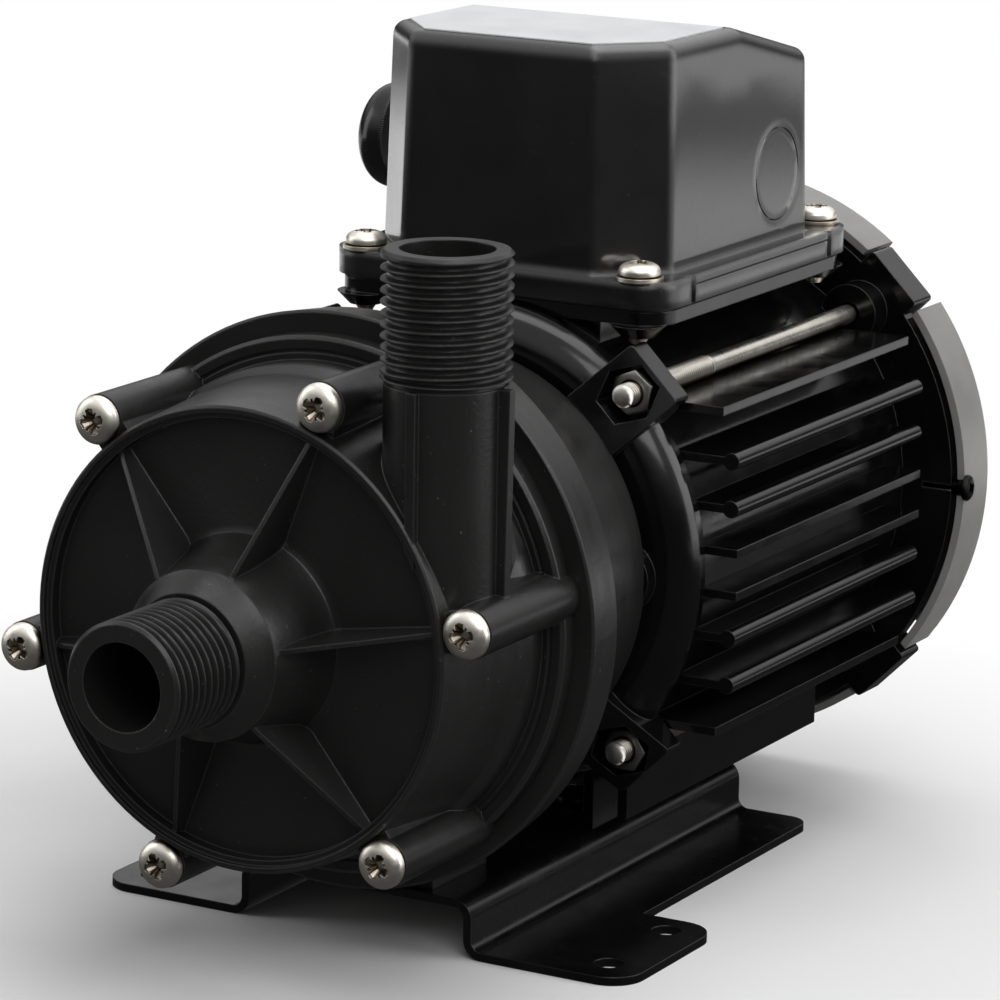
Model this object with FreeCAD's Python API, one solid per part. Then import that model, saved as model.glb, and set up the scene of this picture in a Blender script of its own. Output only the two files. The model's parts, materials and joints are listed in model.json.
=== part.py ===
"""Magnetic drive pump: finned motor, seal-less pump head, terminal box and folded base.

Every sub-part is built about the shaft line: Y runs from the suction nozzle to the fan,
Y = 0 lies in the heads of the casing screws and Z = 0 on the shaft. The last step moves
all of it so that the origin is the centre of the base hole pattern on the floor plane.
"""
import math
import os

import FreeCAD
import Part

V = FreeCAD.Vector
AXIS = V(0, 1, 0)

# Frame of the whole pump
shaft_height = 59.9
base_top = -49.7
hole_pattern_station = 55.3

# Magnet coupling, from the cup outwards and inwards
cup_outer_r = 23.2
cup_wall = 1.6
capsule_gap = 0.8
drive_magnet_gap = 1.4
drive_magnet_thickness = 4.4
yoke_wall = 3.6
yoke_gap = 1.0
cup_inner_r = cup_outer_r - cup_wall
capsule_r = cup_inner_r - capsule_gap
drive_magnet_inner_r = cup_outer_r + drive_magnet_gap
yoke_bore_r = drive_magnet_inner_r + drive_magnet_thickness
yoke_r = yoke_bore_r + yoke_wall
bracket_bore_r = yoke_r + yoke_gap

# Spigots of both end bells, and the frame around them
frame_spigot_r = 39.3
frame_spigot = 2.0
spigot_wall = 2.9
spigot_play = 0.1
frame_wall = 2.6
bell_step = 1.0
bell_draft = 0.5
winding_gap = 4.0
frame_bore_r = frame_spigot_r + spigot_play
frame_r = frame_bore_r + frame_wall
bell_inner_r = frame_spigot_r - spigot_wall
bell_r = frame_r + bell_step
bell_shoulder_r = bell_r + bell_draft

# Half inch pipe thread, drawn as its crest cylinder
thread_r = 10.478
thread_chamfer = 0.6

# Suction side of the front casing
suction_face = -31.9
suction_thread_end = -14.5
suction_bore_r = 7.15
suction_eye_r = 11.2
hub_ring_station = -9.5
hub_ring_r = 14.0
hub_foot_r = 16.6
hub_fillet_r = 18.6
hub_ring_edge = 0.3
hub_ring_width = 0.8
hub_cone_front_r = 13.9
thread_undercut = 1.0
thread_undercut_length = 0.9
hub_cone_r = 11.0
hub_foot_station = 1.7
hub_fillet_station = 3.1
hub_fillet_foot_r = 17.4

# Dish, drum and flange of the front casing
rim_station = 0.7
rim_r = 38.3
rim_edge = 0.4
rim_inner_r = 36.2
rim_step = 0.9
rim_bead_r = 37.2
dish_floor = 3.7
dish_wall = 2.8
chamber_front = dish_floor + dish_wall
chamber_r = 34.5
drum_end = 20.0
drum_r = 39.9
shoulder_end = 24.0
shoulder_r = 41.2
shoulder_edge = 1.0
shoulder_edge_r = 40.9
shoulder_foot = 21.3
shoulder_foot_r = 40.1
flange_front = 27.0
flange_r = 45.2
flange_edge = 0.6
flange_groove_r = 42.7
flange_groove_half_width = 0.3
flange_groove_depth = 0.4
joint_face = 30.6
register_front = 26.4
register_r = 38.6
rib_count = 6
rib_phase = 9.5
rib_thickness = 1.6
rib_top_station = -8.4
rib_end_station = 2.4
rib_root_r = 10.6
rib_top_r = 14.4
rib_top_slope = 0.2
rib_depth = 0.6

# Casing screws and their posts
screw_circle_r = 42.5
post_r = 4.15
post_front = 2.2
post_web_half_width = 3.2
post_web_gap = 0.5
screw_r = 2.0
screw_hole_r = 2.2
tapped_gap = 0.05
screw_end = 38.6
pan_head_r = 4.0
pan_head_height = 2.6
head_overlap = 0.5
crown_share = 0.45

# Discharge tower
discharge_x = 31.6
discharge_y = 12.0
discharge_top = 65.3
discharge_thread_end = 44.9
discharge_bore_r = 7.6
throat_foot = 9.0
discharge_pipe_r = 9.9
discharge_neck_r = 9.4
discharge_neck = 0.8
discharge_foot = 3.0
throat_top = 27.0
throat_r = 5.0
throat_x = 30.2
throat_y = 12.9
throat_cone = 3.0
throat_flare = 1.2
pipe_rib_thickness = 1.7
pipe_rib_reach = 11.0
side_rib_top_reach = 12.0
side_rib_foot_reach = 11.5
side_rib_foot = 8.0
left_rib_foot = 20.0
gusset_outer_x = 38.4
gusset_thickness = 2.2
gusset_top = 23.1
gusset_top_station = 19.8
gusset_foot = 10.1
gusset_bottom = 7.0
ledge_front = 13.5
ledge_inner_x = 37.0
ledge_top = 11.4
ledge_crest_x = 41.2
ledge_edge_x = 44.7
ledge_edge_z = 9.7
ledge_bottom = 7.0

# Spider in the suction passage, spindle and thrust washers
spider_boss_r = 5.8
spider_front = -3.0
spider_back = 10.2
spider_vane_front = -2.0
spider_vane_end = 4.2
spider_vane_thickness = 1.6
spider_vane_depth = 0.8
spider_vane_count = 3
spindle_seat_play = 0.2
passage_cone_front = -12.5
passage_cone_end = -4.5
spindle_r = 4.0
spindle_front = 0.4
spindle_end = 58.0
spindle_fit = 0.03
spindle_flat = 0.8
spindle_flat_front = 54.2
washer_fit = 0.05
thrust_r = 6.6
thrust_thickness = 1.2

# Impeller and its magnet capsule
mouth_ring_inner_r = 12.1
mouth_ring_r = 14.8
mouth_ring_end = 9.0
eye_inner_r = 10.4
eye_outer_r = 11.75
eye_front = 7.2
hub_front = 12.6
hub_front_wall = 0.5
hub_wall = 3.0
hub_overlap = 0.5
impeller_r = 28.0
shroud_front = 9.6
shroud_fall = 0.4
shroud_root_r = 11.8
vane_overlap = 0.2
vane_front = 11.2
vane_end = 18.0
vane_count = 6
vane_thickness = 1.8
vane_curve_r = 19.0
vane_curve_x = 4.0
vane_curve_z = -13.0
vane_inner_r = 11.0
vane_outer_r = 27.6
vane_inner_x = 2.0
vane_lowest_z = -14.0
back_shroud_end = 20.0
capsule_end = 52.0
capsule_wall = 1.2
capsule_bore_r = 9.0
magnet_front = 24.0
magnet_end = 49.0
magnet_inner_r = 13.0
bush_front = 11.5
bush_end = 51.6
bush_fit = 0.08
bush_groove_half_width = 1.0
bush_groove_depth = 1.2
seat_gap = 0.03

# Containment shell behind the impeller
plug_front = 23.2
plug_r = 34.2
shell_plate = 2.2
shell_flange_front = 28.4
shell_flange_r = 38.3
cup_floor = 55.2
cup_end = 57.6
cup_edge = 1.0
cup_edge_depth = 0.8
spindle_boss_r = 8.5
spindle_boss_front = 53.2
o_ring_r = 37.3
o_ring_section_r = 0.98
o_ring_station = 27.4

# Bracket between pump head and motor
bracket_face_r = 48.4
bracket_r = 48.8
bracket_flange_end = 40.5
bracket_flange_end_r = 47.8
bracket_edge = 0.4
neck_front_r = 41.0
neck_end_r = 36.7
neck_floor = 66.6
bracket_end = 70.3
bracket_opening_r = 24.0
bracket_pad_half_width = 14.0
bracket_pad_front = 40.0
bracket_pad_end = 58.0
bracket_pad_top = -34.0
bracket_foot_screw_x = 8.0
bracket_foot_screw_y = 50.0
bracket_foot_screw_reach = 7.0
bracket_foot_hole_reach = 7.5

# Bracket screws, driven from inside the neck into bosses of the end bell
bracket_screw_inset = 2.4
bracket_screw_circle_r = bracket_bore_r - bracket_screw_inset
bracket_screw_r = 2.0
bracket_screw_head_r = 3.3
bracket_screw_head_height = 3.2
bracket_screw_count = 4
socket_across = 3.0
socket_depth = 1.6
bracket_screw_end = 78.0
bracket_boss_r = 6.2
counterbore_play = 0.3
hex_nut_across = 7.0
hex_nut_height = 3.0

# Drive magnet on the motor shaft
yoke_front = 36.6
yoke_floor = 59.4
yoke_end = 62.4
yoke_hub_r = 10.0
yoke_hub_end = 68.0
yoke_front_edge = 0.6
yoke_rear_edge = 1.5
shaft_fit = 0.02
drive_magnet_front = 37.2
drive_magnet_end = 57.0
drive_magnet_count = 8
drive_magnet_gap_angle = 7.0
set_screw_r = 1.5
set_screw_station = 65.2
set_screw_sink = 0.4

# Front end bell
bell_hub_front = 69.0
bell_hub_r = 18.5
bell_hub_edge = 2.0
bell_hub_foot_r = 19.5
bell_curve = ((73.5, 4.3), (75.2, 1.5))
bell_floor = 78.6
bell_plate_front = 73.0
bell_plate_back = 76.4
bell_plate_r = bell_inner_r
bell_shoulder = 77.8
bell_end = 80.5
bell_shaft_hole_r = 6.0

# Ears and tie bolts
tie_offset = 31.1
ear_reach = 49.2
ear_width = 12.6
ear_front = 76.0
ear_root_r = 30.0
ear_inner_front = 70.3
ear_inner_r = 36.7
pocket_across = 8.8
pocket_floor = 77.6
ear_corner_r = 0.8
ear_turn = 15.0
tie_bolt_end = 71.2
tie_thread_r = 2.0
tie_shank_r = 1.75
tie_thread_length = 31.2
tie_head_height = 2.8
tie_head_overlap = 0.5
tie_hole_r = 2.15
tie_clearance = 0.3

# Ball bearings
bearing_r = 15.0
bearing_bore_r = 5.0
bearing_width = 9.0
bearing_outer_inner_r = 12.0
bearing_inner_outer_r = 8.2
bearing_fit = 0.01
track_r = (bearing_outer_inner_r + bearing_inner_outer_r) / 2
ball_r = 2.0
ball_count = 8
ball_track_play = 0.08
cage_half_thickness = 0.7
cage_half_width = 2.6
front_bearing_front = 71.0
rear_bearing_front = 150.6

# Shaft, rotor and stator
shaft_r = 5.0
shaft_front = 59.8
shaft_end = 175.0
shaft_shoulder_r = 6.4
shaft_rotor_r = 5.8
shaft_tip = 0.5
shaft_shoulder_end = 89.0
rotor_r = 21.6
rotor_front = 93.0
rotor_end = 141.0
stator_inner_r = 22.0
stator_front = 94.0
stator_end = 140.0
slot_count = 12
slot_inner_r = 23.4
slot_outer_r = 33.0
slot_width = 5.0
slot_mouth_half_width = 1.0
winding_inner_r = 23.8
winding_outer_r = frame_bore_r - winding_gap
winding_overhang = 8.0
winding_gap = 0.1
end_turn_gap = 0.2

# Terminal box
box_centre = 118.6
box_half_width = 28.6
box_flange_half_length = 37.6
box_half_length = box_flange_half_length - 1.5
box_foot_spread = 0.1
box_cut_x = 9.7
box_front_cut_y = 11.0
box_rear_cut_y = 10.0
box_draft = 0.9
box_bottom = 44.0
box_flange_top = 48.5
box_flange_half_width = box_half_width + 4.8
box_flange_corner_r = 7.0
box_top = 87.5
box_ridge_y = 119.0
box_slope = 0.246
box_edge_r = 2.6
box_wall = 2.2
box_screw_x = box_half_width - 1.6
box_screw_y = box_flange_half_length - 3.6
gasket_front_gap = 1.2
gasket_rear_gap = 1.4
gasket_side_gap = 0.2
entry_y = 132.4
entry_z = 60.2
entry_r = 8.0
entry_clearance = 0.15
knockout_y = 133.4
knockout_r = 8.4
knockout_groove = 0.35
knockout_depth = 0.9
small_head_r = 3.6
small_head_height = 2.5
washer_r = 4.1
washer_thickness = 0.7
box_screw_tip = 37.6
label_half_width = 25.0
label_corner_x = 16.4
label_front = 85.6
label_corner_y = 95.4
label_end = 117.2
label_thickness = 0.25

# Finned frame
frame_front = 80.5
frame_end = 154.5
fin_shift = 0.6
fin_rows = ((3.7, 48.7, False), (11.25, 48.7, True), (19.5, 48.6, True), (27.9, 45.4, False))
fin_front = 81.0
fin_end = 154.0
fin_thickness = 1.5
fin_bead_r = 1.5
seat_bottom = 41.0
seat_top = 43.4
seat_half_width = box_flange_half_width - 1.0
seat_front = box_centre - box_flange_half_length + 1.0
seat_end = box_centre + box_flange_half_length - 1.2
seat_corner_r = 6.0
seat_front_gap = 2.0
seat_rear_gap = 3.0
seat_neck_foot = 34.0
neck_half_width = 20.0
boss_top_r = 5.0
boss_end_r = 2.9
boss_bottom = 38.8
lead_hole_r = 9.0
box_hole_bottom = 35.8
box_hole_top = 47.8
skirt_outer_x = 29.0
skirt_thickness = 1.9
skirt_bottom = -45.4
skirt_top = -28.0
foot_top = -36.0
foot_flange_thickness = 2.8
foot_flange_top = base_top + foot_flange_thickness
foot_inner_x = 8.5
foot_outer_x = 20.2
foot_front = 84.5
foot_end = 134.0
leg_thickness = 2.0
base_screw_x = 14.0
base_screw_inset = 5.6
base_screw_tip = 1.0

# Rear end bell, fan and fan cover
cover_front = 164.6
cover_end = 176.5
cover_r = 52.8
cover_wall = 1.4
cover_play = 0.8
cover_edge_r = 2.0
cover_notch_width = 14.4
cover_notch_depth = 14.2
grille_rows = (15.0, 21.5, 28.0, 34.5, 41.0)
grille_slot = 3.2
grille_spoke = 4.0
grille_spoke_count = 6
cover_screw_y = 165.2
cover_screw_r = 1.5
cover_screw_length = 7.0
cover_screw_head_r = 2.4
cover_screw_head_height = 1.2
cover_screw_clearance = 0.1
rear_bell_r = 40.8
rear_bell_inner_r = 37.5
rear_flange_front = 163.7
rear_flange_end = 166.7
rear_flange_r = cover_r - cover_wall - cover_play
rear_ear_reach = 53.4
rear_ear_root_r = 40.0
rear_ear_end = 171.0
rear_ear_boss_r = 5.4
rear_ear_boss_length = 5.0
rear_seat_floor = 161.2
housing_front = 150.6
housing_r = 18.4
rear_window_inner_r = 21.0
rear_window_outer_r = 35.5
rear_spoke_count = 8
rear_spoke_width = 5.0
wave_washer_inner_r = 12.4
wave_washer_height = 1.4
wave_washer_outer_r = 14.7
fan_front = 168.4
fan_end = 174.4
fan_hub_r = 9.5
fan_r = 38.0
fan_plate_r = 29.0
fan_plate = 1.4
fan_blade_count = 10
fan_blade_thickness = 1.5
fan_blade_step = 0.4

# Cable gland, lengths measured outwards from the wall of the box
gland_flange_r = 10.6
gland_flange = 1.6
gland_hex_across = 19.6
gland_hex_length = 6.0
gland_thread_r = 7.85
gland_thread_length = 8.5
gland_neck_r = 7.2
gland_neck_length = 10.0
gland_nut_r = 9.7
gland_nut_gap = 0.3
gland_nut_length = 13.0
gland_nut_depth = 10.2
gland_nut_play = 0.08
gland_dome = 4.6
gland_dome_shoulder = 0.82
gland_dome_rise = 0.62
gland_hole_r = 4.2
gland_seal_r = 6.1
gland_seal_bore_r = 3.6
gland_seal_start = 8.0
gland_seal_length = 9.6
gland_seal_play = 0.05
locknut_r = 9.1
locknut_height = 3.0
locknut_gap = 0.7

# Parts inside the terminal box
capacitor_r = 11.0
capacitor_start = -15.0
capacitor_length = 33.0
clip_start = -6.0
clip_end = 9.0
clip_half_depth = 9.0
clip_top = 57.0
clip_fit = 0.03
capacitor_y = 136.0
capacitor_z = 60.0
block_length = 40.0
block_depth = 14.0
block_height = 13.0
block_floor = 9.0
block_wall_half_width = 0.8
stud_foot = 2.0
stud_rise = 4.0
stud_nut_across = 5.5
stud_nut_height = 2.2
block_y = 99.0
stud_count = 4
stud_pitch = 8.6
stud_r = 1.7

# Folded base plate
base_sheet = 1.5
base_front = 38.0
base_end = 136.4
base_wall_outer_x = 22.6
base_bend_r = 3.4
base_bend_share = 0.45
tab_half_width = 52.0
tab_end = 71.4
tab_corner_r = 6.0
foot_half_width = 37.4
foot_corner_r = 4.0
mount_hole_x = 45.0
mount_hole_rows = (45.1, 65.5)
mount_hole_r = 2.5


def cyl(radius, start, end, x=0.0, z=0.0):
    return Part.makeCylinder(radius, end - start, V(x, start, z), AXIS)


def column(radius, x, y, z0, z1):
    return Part.makeCylinder(radius, z1 - z0, V(x, y, z0), V(0, 0, 1))


def crossbar(radius, x0, x1, y, z):
    """Cylinder along X between two values of x, in either order."""
    return Part.makeCylinder(radius, abs(x1 - x0), V(min(x0, x1), y, z), V(1, 0, 0))


def prism(corners, sweep):
    return Part.Face(Part.makePolygon(corners + corners[:1])).extrude(sweep)


def ring(inner, outer, start, end):
    return cyl(outer, start, end).cut(cyl(inner, start - 1, end + 1))


def box(x0, x1, y0, y1, z0, z1):
    return Part.makeBox(x1 - x0, y1 - y0, z1 - z0, V(x0, y0, z0))


def turned(points):
    """Solid of revolution about the shaft from (station, radius) corners."""
    outline = [V(r, y, 0) for y, r in points]
    return Part.Face(Part.makePolygon(outline + outline[:1])).revolve(V(0, 0, 0), AXIS, 360)


def spin(shape, angle):
    turned_copy = shape.copy()
    turned_copy.rotate(V(0, 0, 0), AXIS, -angle)
    return turned_copy


def around(shape, count, phase=0.0):
    return [spin(shape, phase + 360.0 * i / count) for i in range(count)]


def fuse(shapes):
    return shapes[0].multiFuse(shapes[1:]).removeSplitter() if len(shapes) > 1 else shapes[0]


def hexagon(across, centre, direction, height, turn=0.0):
    """Hexagonal prism with its faces `across` apart."""
    radius = across / math.sqrt(3)
    side = V(0, 0, 1) if abs(direction.z) < 0.5 else V(1, 0, 0)
    other = direction.cross(side)
    corners = []
    for i in range(7):
        angle = math.radians(60 * i + turn)
        corners.append(centre + side * (radius * math.cos(angle)) + other * (radius * math.sin(angle)))
    return Part.Face(Part.makePolygon(corners)).extrude(direction * height)


def rounded_plate(half_x, y0, y1, z0, z1, corner_r):
    plate = box(-half_x, half_x, y0, y1, z0, z1)
    upright = [e for e in plate.Edges if abs(e.tangentAt(e.FirstParameter).z) > 0.9]
    return plate.makeFillet(corner_r, upright)


def on_circle(radius, angle):
    a = math.radians(angle)
    return radius * math.cos(a), radius * math.sin(a)


def screw_angles():
    return [rib_phase + 360.0 * i / rib_count for i in range(rib_count)]


def screw_places():
    return [on_circle(screw_circle_r, angle) for angle in screw_angles()]


def domed_head(radius, height):
    """Pan head about Z, seat at 0."""
    crown = height * crown_share
    sphere_r = (radius ** 2 + crown ** 2) / (2 * crown)
    crown_ball = Part.makeSphere(sphere_r, V(0, 0, height - sphere_r))
    return Part.makeCylinder(radius, height).common(crown_ball)


def casing_body():
    """Dish, drum, shoulder and flange turned in one profile, hollowed for the impeller."""
    outer = turned([
        (dish_floor, 0.0),
        (dish_floor, rim_inner_r),
        (rim_station + rim_step, rim_inner_r),
        (rim_station + rim_step, rim_bead_r),
        (rim_station, rim_bead_r),
        (rim_station, rim_r - rim_edge),
        (rim_station + rim_edge, rim_r),
        (drum_end, drum_r),
        (shoulder_foot, shoulder_foot_r),
        (shoulder_end - shoulder_edge, shoulder_edge_r),
        (shoulder_end, shoulder_r),
        (flange_front, shoulder_r),
        (flange_front, flange_r - flange_edge),
        (flange_front + flange_edge, flange_r),
        (joint_face, flange_r),
        (joint_face, 0.0),
    ])
    groove = ring(flange_groove_r - flange_groove_half_width, flange_groove_r + flange_groove_half_width,
                  flange_front - 1, flange_front + flange_groove_depth)
    return outer.cut(groove)


def casing_hub():
    """Nozzle, ring and cone of the suction side as one turned shape with a flared foot."""
    undercut_end = suction_thread_end + thread_undercut_length
    return turned([
        (suction_face, 0.0),
        (suction_face, thread_r - thread_chamfer),
        (suction_face + thread_chamfer, thread_r),
        (suction_thread_end, thread_r),
        (suction_thread_end, thread_r - thread_undercut),
        (undercut_end, thread_r - thread_undercut),
        (undercut_end, hub_cone_r),
        (hub_ring_station - hub_ring_edge, hub_ring_r - hub_ring_edge),
        (hub_ring_station, hub_ring_r),
        (hub_ring_station + hub_ring_edge, hub_ring_r - hub_ring_edge),
        (hub_ring_station + hub_ring_width, hub_cone_front_r),
        (hub_foot_station, hub_foot_r),
        (hub_fillet_station, hub_fillet_foot_r),
        (dish_floor, hub_fillet_r),
        (dish_floor + 1, hub_fillet_r),
        (dish_floor + 1, 0.0),
    ])


def casing_rib():
    """One tapered gusset from the hub ring down to the rim, lying along +X."""
    end_r = rim_inner_r + rib_depth
    foot = dish_floor + rib_depth
    corners = [
        V(rib_root_r, foot, 0),
        V(hub_ring_r - rib_depth, rib_top_station, 0),
        V(rib_top_r, rib_top_station + rib_top_slope, 0),
        V(end_r, rib_end_station, 0),
        V(end_r, foot, 0),
    ]
    rib = prism(corners, V(0, 0, rib_thickness))
    rib.translate(V(0, 0, -rib_thickness / 2))
    return rib


def casing_posts():
    """Six screw posts with a narrow web down to the drum."""
    shapes = [cyl(post_r, post_front, joint_face, x, z) for x, z in screw_places()]
    web = box(rim_inner_r + post_web_gap, screw_circle_r, post_front + post_web_gap, joint_face,
              -post_web_half_width, post_web_half_width)
    return shapes + around(web, rib_count, rib_phase)


def tower_rib(reach_top, reach_foot, foot, turn):
    """Upright rib on the tower, lying along +X before its turn about the tower axis."""
    top = discharge_thread_end - discharge_neck
    corners = [V(0, 0, foot), V(reach_foot, 0, foot), V(reach_top, 0, top), V(0, 0, top)]
    rib = prism(corners, V(0, pipe_rib_thickness, 0))
    rib.translate(V(0, -pipe_rib_thickness / 2, 0))
    rib.rotate(V(0, 0, 0), V(0, 0, 1), turn)
    rib.translate(V(discharge_x, discharge_y, 0))
    return rib


def discharge_tower():
    """Pipe standing on the drum, its threaded end, mould ribs, gusset and ledge towards the flange."""
    x, y = discharge_x, discharge_y
    neck_z = discharge_thread_end - discharge_neck
    straight = discharge_top - thread_chamfer
    pipe = column(discharge_pipe_r, x, y, discharge_foot, neck_z)
    neck = column(discharge_neck_r, x, y, neck_z, discharge_thread_end)
    thread = column(thread_r, x, y, discharge_thread_end, straight)
    tip = Part.makeCone(thread_r, thread_r - thread_chamfer, thread_chamfer, V(x, y, straight), V(0, 0, 1))
    front_rib = tower_rib(pipe_rib_reach, pipe_rib_reach, side_rib_foot, -90)
    side_rib = tower_rib(side_rib_top_reach, side_rib_foot_reach, side_rib_foot, 0)
    left_rib = tower_rib(pipe_rib_reach, pipe_rib_reach, left_rib_foot, 180)
    inner_x = gusset_outer_x - gusset_thickness
    gusset = prism([V(inner_x, y, gusset_bottom), V(inner_x, joint_face, gusset_bottom),
                    V(inner_x, joint_face, gusset_foot), V(inner_x, gusset_top_station, gusset_top),
                    V(inner_x, y, gusset_top)], V(gusset_thickness, 0, 0))
    ledge = prism([V(ledge_inner_x, ledge_front, ledge_bottom), V(ledge_edge_x, ledge_front, ledge_bottom),
                   V(ledge_edge_x, ledge_front, ledge_edge_z), V(ledge_crest_x, ledge_front, ledge_top),
                   V(ledge_inner_x, ledge_front, ledge_top)], V(0, joint_face - ledge_front, 0))
    hollow = cyl(rim_inner_r, suction_face, dish_floor)
    return [fuse([pipe, neck, thread, tip, front_rib, side_rib, left_rib, gusset, ledge]).cut(hollow)]


def discharge_passage():
    """Bore of the tower with a narrower throat that keeps behind the wall of the dish."""
    bore = column(discharge_bore_r, discharge_x, discharge_y, throat_top, discharge_top + 1)
    throat = column(throat_r, throat_x, throat_y, throat_foot, throat_top)
    cone = Part.makeCone(throat_r, throat_r + throat_flare, throat_cone,
                         V(throat_x, throat_y, throat_top - throat_cone), V(0, 0, 1))
    return fuse([bore, throat, cone])


def front_casing():
    shapes = [casing_body(), casing_hub()]
    shapes += around(casing_rib(), rib_count, rib_phase)
    shapes += casing_posts()
    shapes += discharge_tower()
    body = fuse(shapes)
    chamber = cyl(chamber_r, chamber_front, joint_face + 1)
    register = cyl(register_r, register_front, joint_face + 1)
    passage = turned([
        (suction_face - 1, 0.0),
        (suction_face - 1, suction_bore_r),
        (passage_cone_front, suction_bore_r),
        (passage_cone_end, suction_eye_r),
        (chamber_front + 1, suction_eye_r),
        (chamber_front + 1, 0.0),
    ])
    body = body.cut(chamber.fuse([register, passage])).cut(discharge_passage())
    for x, z in screw_places():
        body = body.cut(cyl(screw_hole_r, post_front - 1, joint_face + 1, x, z))
    boss = cyl(spider_boss_r, spider_front, spider_back)
    half = spider_vane_thickness / 2
    vane = box(0, suction_eye_r + spider_vane_depth, spider_vane_front, spider_vane_end, -half, half)
    spider = fuse([boss] + around(vane, spider_vane_count, 90))
    seat = cyl(spindle_r + spindle_fit, spindle_front - spindle_seat_play, spider_back + 1)
    return body.fuse(spider).cut(seat).removeSplitter()


def casing_screws():
    """Six pan head screws from the posts through the flange into the bracket."""
    solids = []
    for x, z in screw_places():
        head = domed_head(pan_head_r, pan_head_height)
        head.rotate(V(0, 0, 0), V(1, 0, 0), 90)
        head.translate(V(x, post_front, z))
        solids.append(fuse([head, cyl(screw_r, post_front - head_overlap, screw_end, x, z)]))
    return Part.makeCompound(solids)


def mouth_ring():
    return ring(mouth_ring_inner_r, mouth_ring_r, chamber_front, mouth_ring_end)


def spindle():
    """Round rod with a flat at its rear end that keeps it from turning."""
    rod = cyl(spindle_r, spindle_front, spindle_end)
    flat = box(-spindle_r, spindle_r, spindle_flat_front, spindle_end + 1, spindle_r - spindle_flat, spindle_r + 1)
    return rod.cut(flat)


def thrust_washer(start):
    return ring(spindle_r + washer_fit, thrust_r, start, start + thrust_thickness)


def impeller_vane():
    """Backward curved vane as a slice of a thin cylinder, between eye and rim."""
    start, end = vane_front - vane_overlap, vane_end + vane_overlap
    band = cyl(vane_curve_r, start, end, vane_curve_x, vane_curve_z)
    band = band.cut(cyl(vane_curve_r - vane_thickness, start - 1, end + 1, vane_curve_x, vane_curve_z))
    kept = ring(vane_inner_r, vane_outer_r, start, end)
    quarter = box(vane_inner_x, impeller_r, start, end, vane_lowest_z, impeller_r)
    return band.common(kept).common(quarter)


def impeller():
    """Closed wheel: front shroud with eye collar, vanes, back shroud and hub."""
    front = turned([
        (eye_front, eye_inner_r),
        (eye_front, eye_outer_r),
        (shroud_front, eye_outer_r),
        (shroud_front + shroud_fall, impeller_r),
        (vane_front + vane_overlap, impeller_r),
        (vane_front, shroud_root_r),
        (shroud_front, eye_inner_r),
    ])
    back = ring(capsule_bore_r, impeller_r, vane_end, back_shroud_end)
    hub = turned([
        (hub_front, capsule_bore_r),
        (hub_front, capsule_bore_r + hub_front_wall),
        (vane_end, capsule_bore_r + hub_wall),
        (vane_end + hub_overlap, capsule_bore_r + hub_wall),
        (vane_end + hub_overlap, capsule_bore_r),
    ])
    return fuse([front, back, hub] + around(impeller_vane(), vane_count))


def magnet_capsule():
    """Cup around the driven magnets, open towards the motor."""
    body = ring(capsule_bore_r, capsule_r, back_shroud_end, capsule_end)
    cavity = ring(magnet_inner_r - seat_gap, capsule_r - capsule_wall, magnet_front, capsule_end + 1)
    return body.cut(cavity)


def capsule_lid():
    outer_r = capsule_r - capsule_wall - seat_gap
    return ring(magnet_inner_r + seat_gap, outer_r, magnet_end + seat_gap, capsule_end)


def driven_magnets():
    return ring(magnet_inner_r, capsule_r - capsule_wall - seat_gap, magnet_front, magnet_end)


def bearing_bush():
    """Plain bush with one cooling groove."""
    bush = ring(spindle_r + bush_fit, capsule_bore_r - seat_gap, bush_front, bush_end)
    groove = box(-bush_groove_half_width, bush_groove_half_width, bush_front - 1, bush_end + 1,
                 0, spindle_r + bush_groove_depth)
    return bush.cut(groove)


def rear_casing():
    """Containment shell: flange, plug plate, thin cup and spindle boss."""
    body = turned([
        (shell_flange_front, plug_r),
        (shell_flange_front, shell_flange_r),
        (joint_face, shell_flange_r),
        (joint_face, plug_r - shell_plate),
        (plug_front + shell_plate, plug_r - shell_plate),
        (plug_front + shell_plate, cup_outer_r),
        (cup_end, cup_outer_r),
        (cup_end + cup_edge_depth, cup_outer_r - cup_edge),
        (cup_end + cup_edge_depth, 0.0),
        (spindle_boss_front, 0.0),
        (spindle_boss_front, spindle_boss_r),
        (cup_floor, spindle_boss_r),
        (cup_floor, cup_inner_r),
        (plug_front, cup_inner_r),
        (plug_front, plug_r),
    ])
    socket = cyl(spindle_r + seat_gap, spindle_boss_front - 1, spindle_end)
    flat = box(-spindle_r - 1, spindle_r + 1, spindle_flat_front + seat_gap, spindle_end + 1,
               spindle_r - spindle_flat + seat_gap, spindle_r + 2)
    return body.cut(socket.cut(flat))


def o_ring():
    circle = Part.Wire(Part.makeCircle(o_ring_section_r, V(o_ring_r, o_ring_station, 0), V(0, 0, 1)))
    return Part.Face(circle).revolve(V(0, 0, 0), AXIS, 360)


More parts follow.
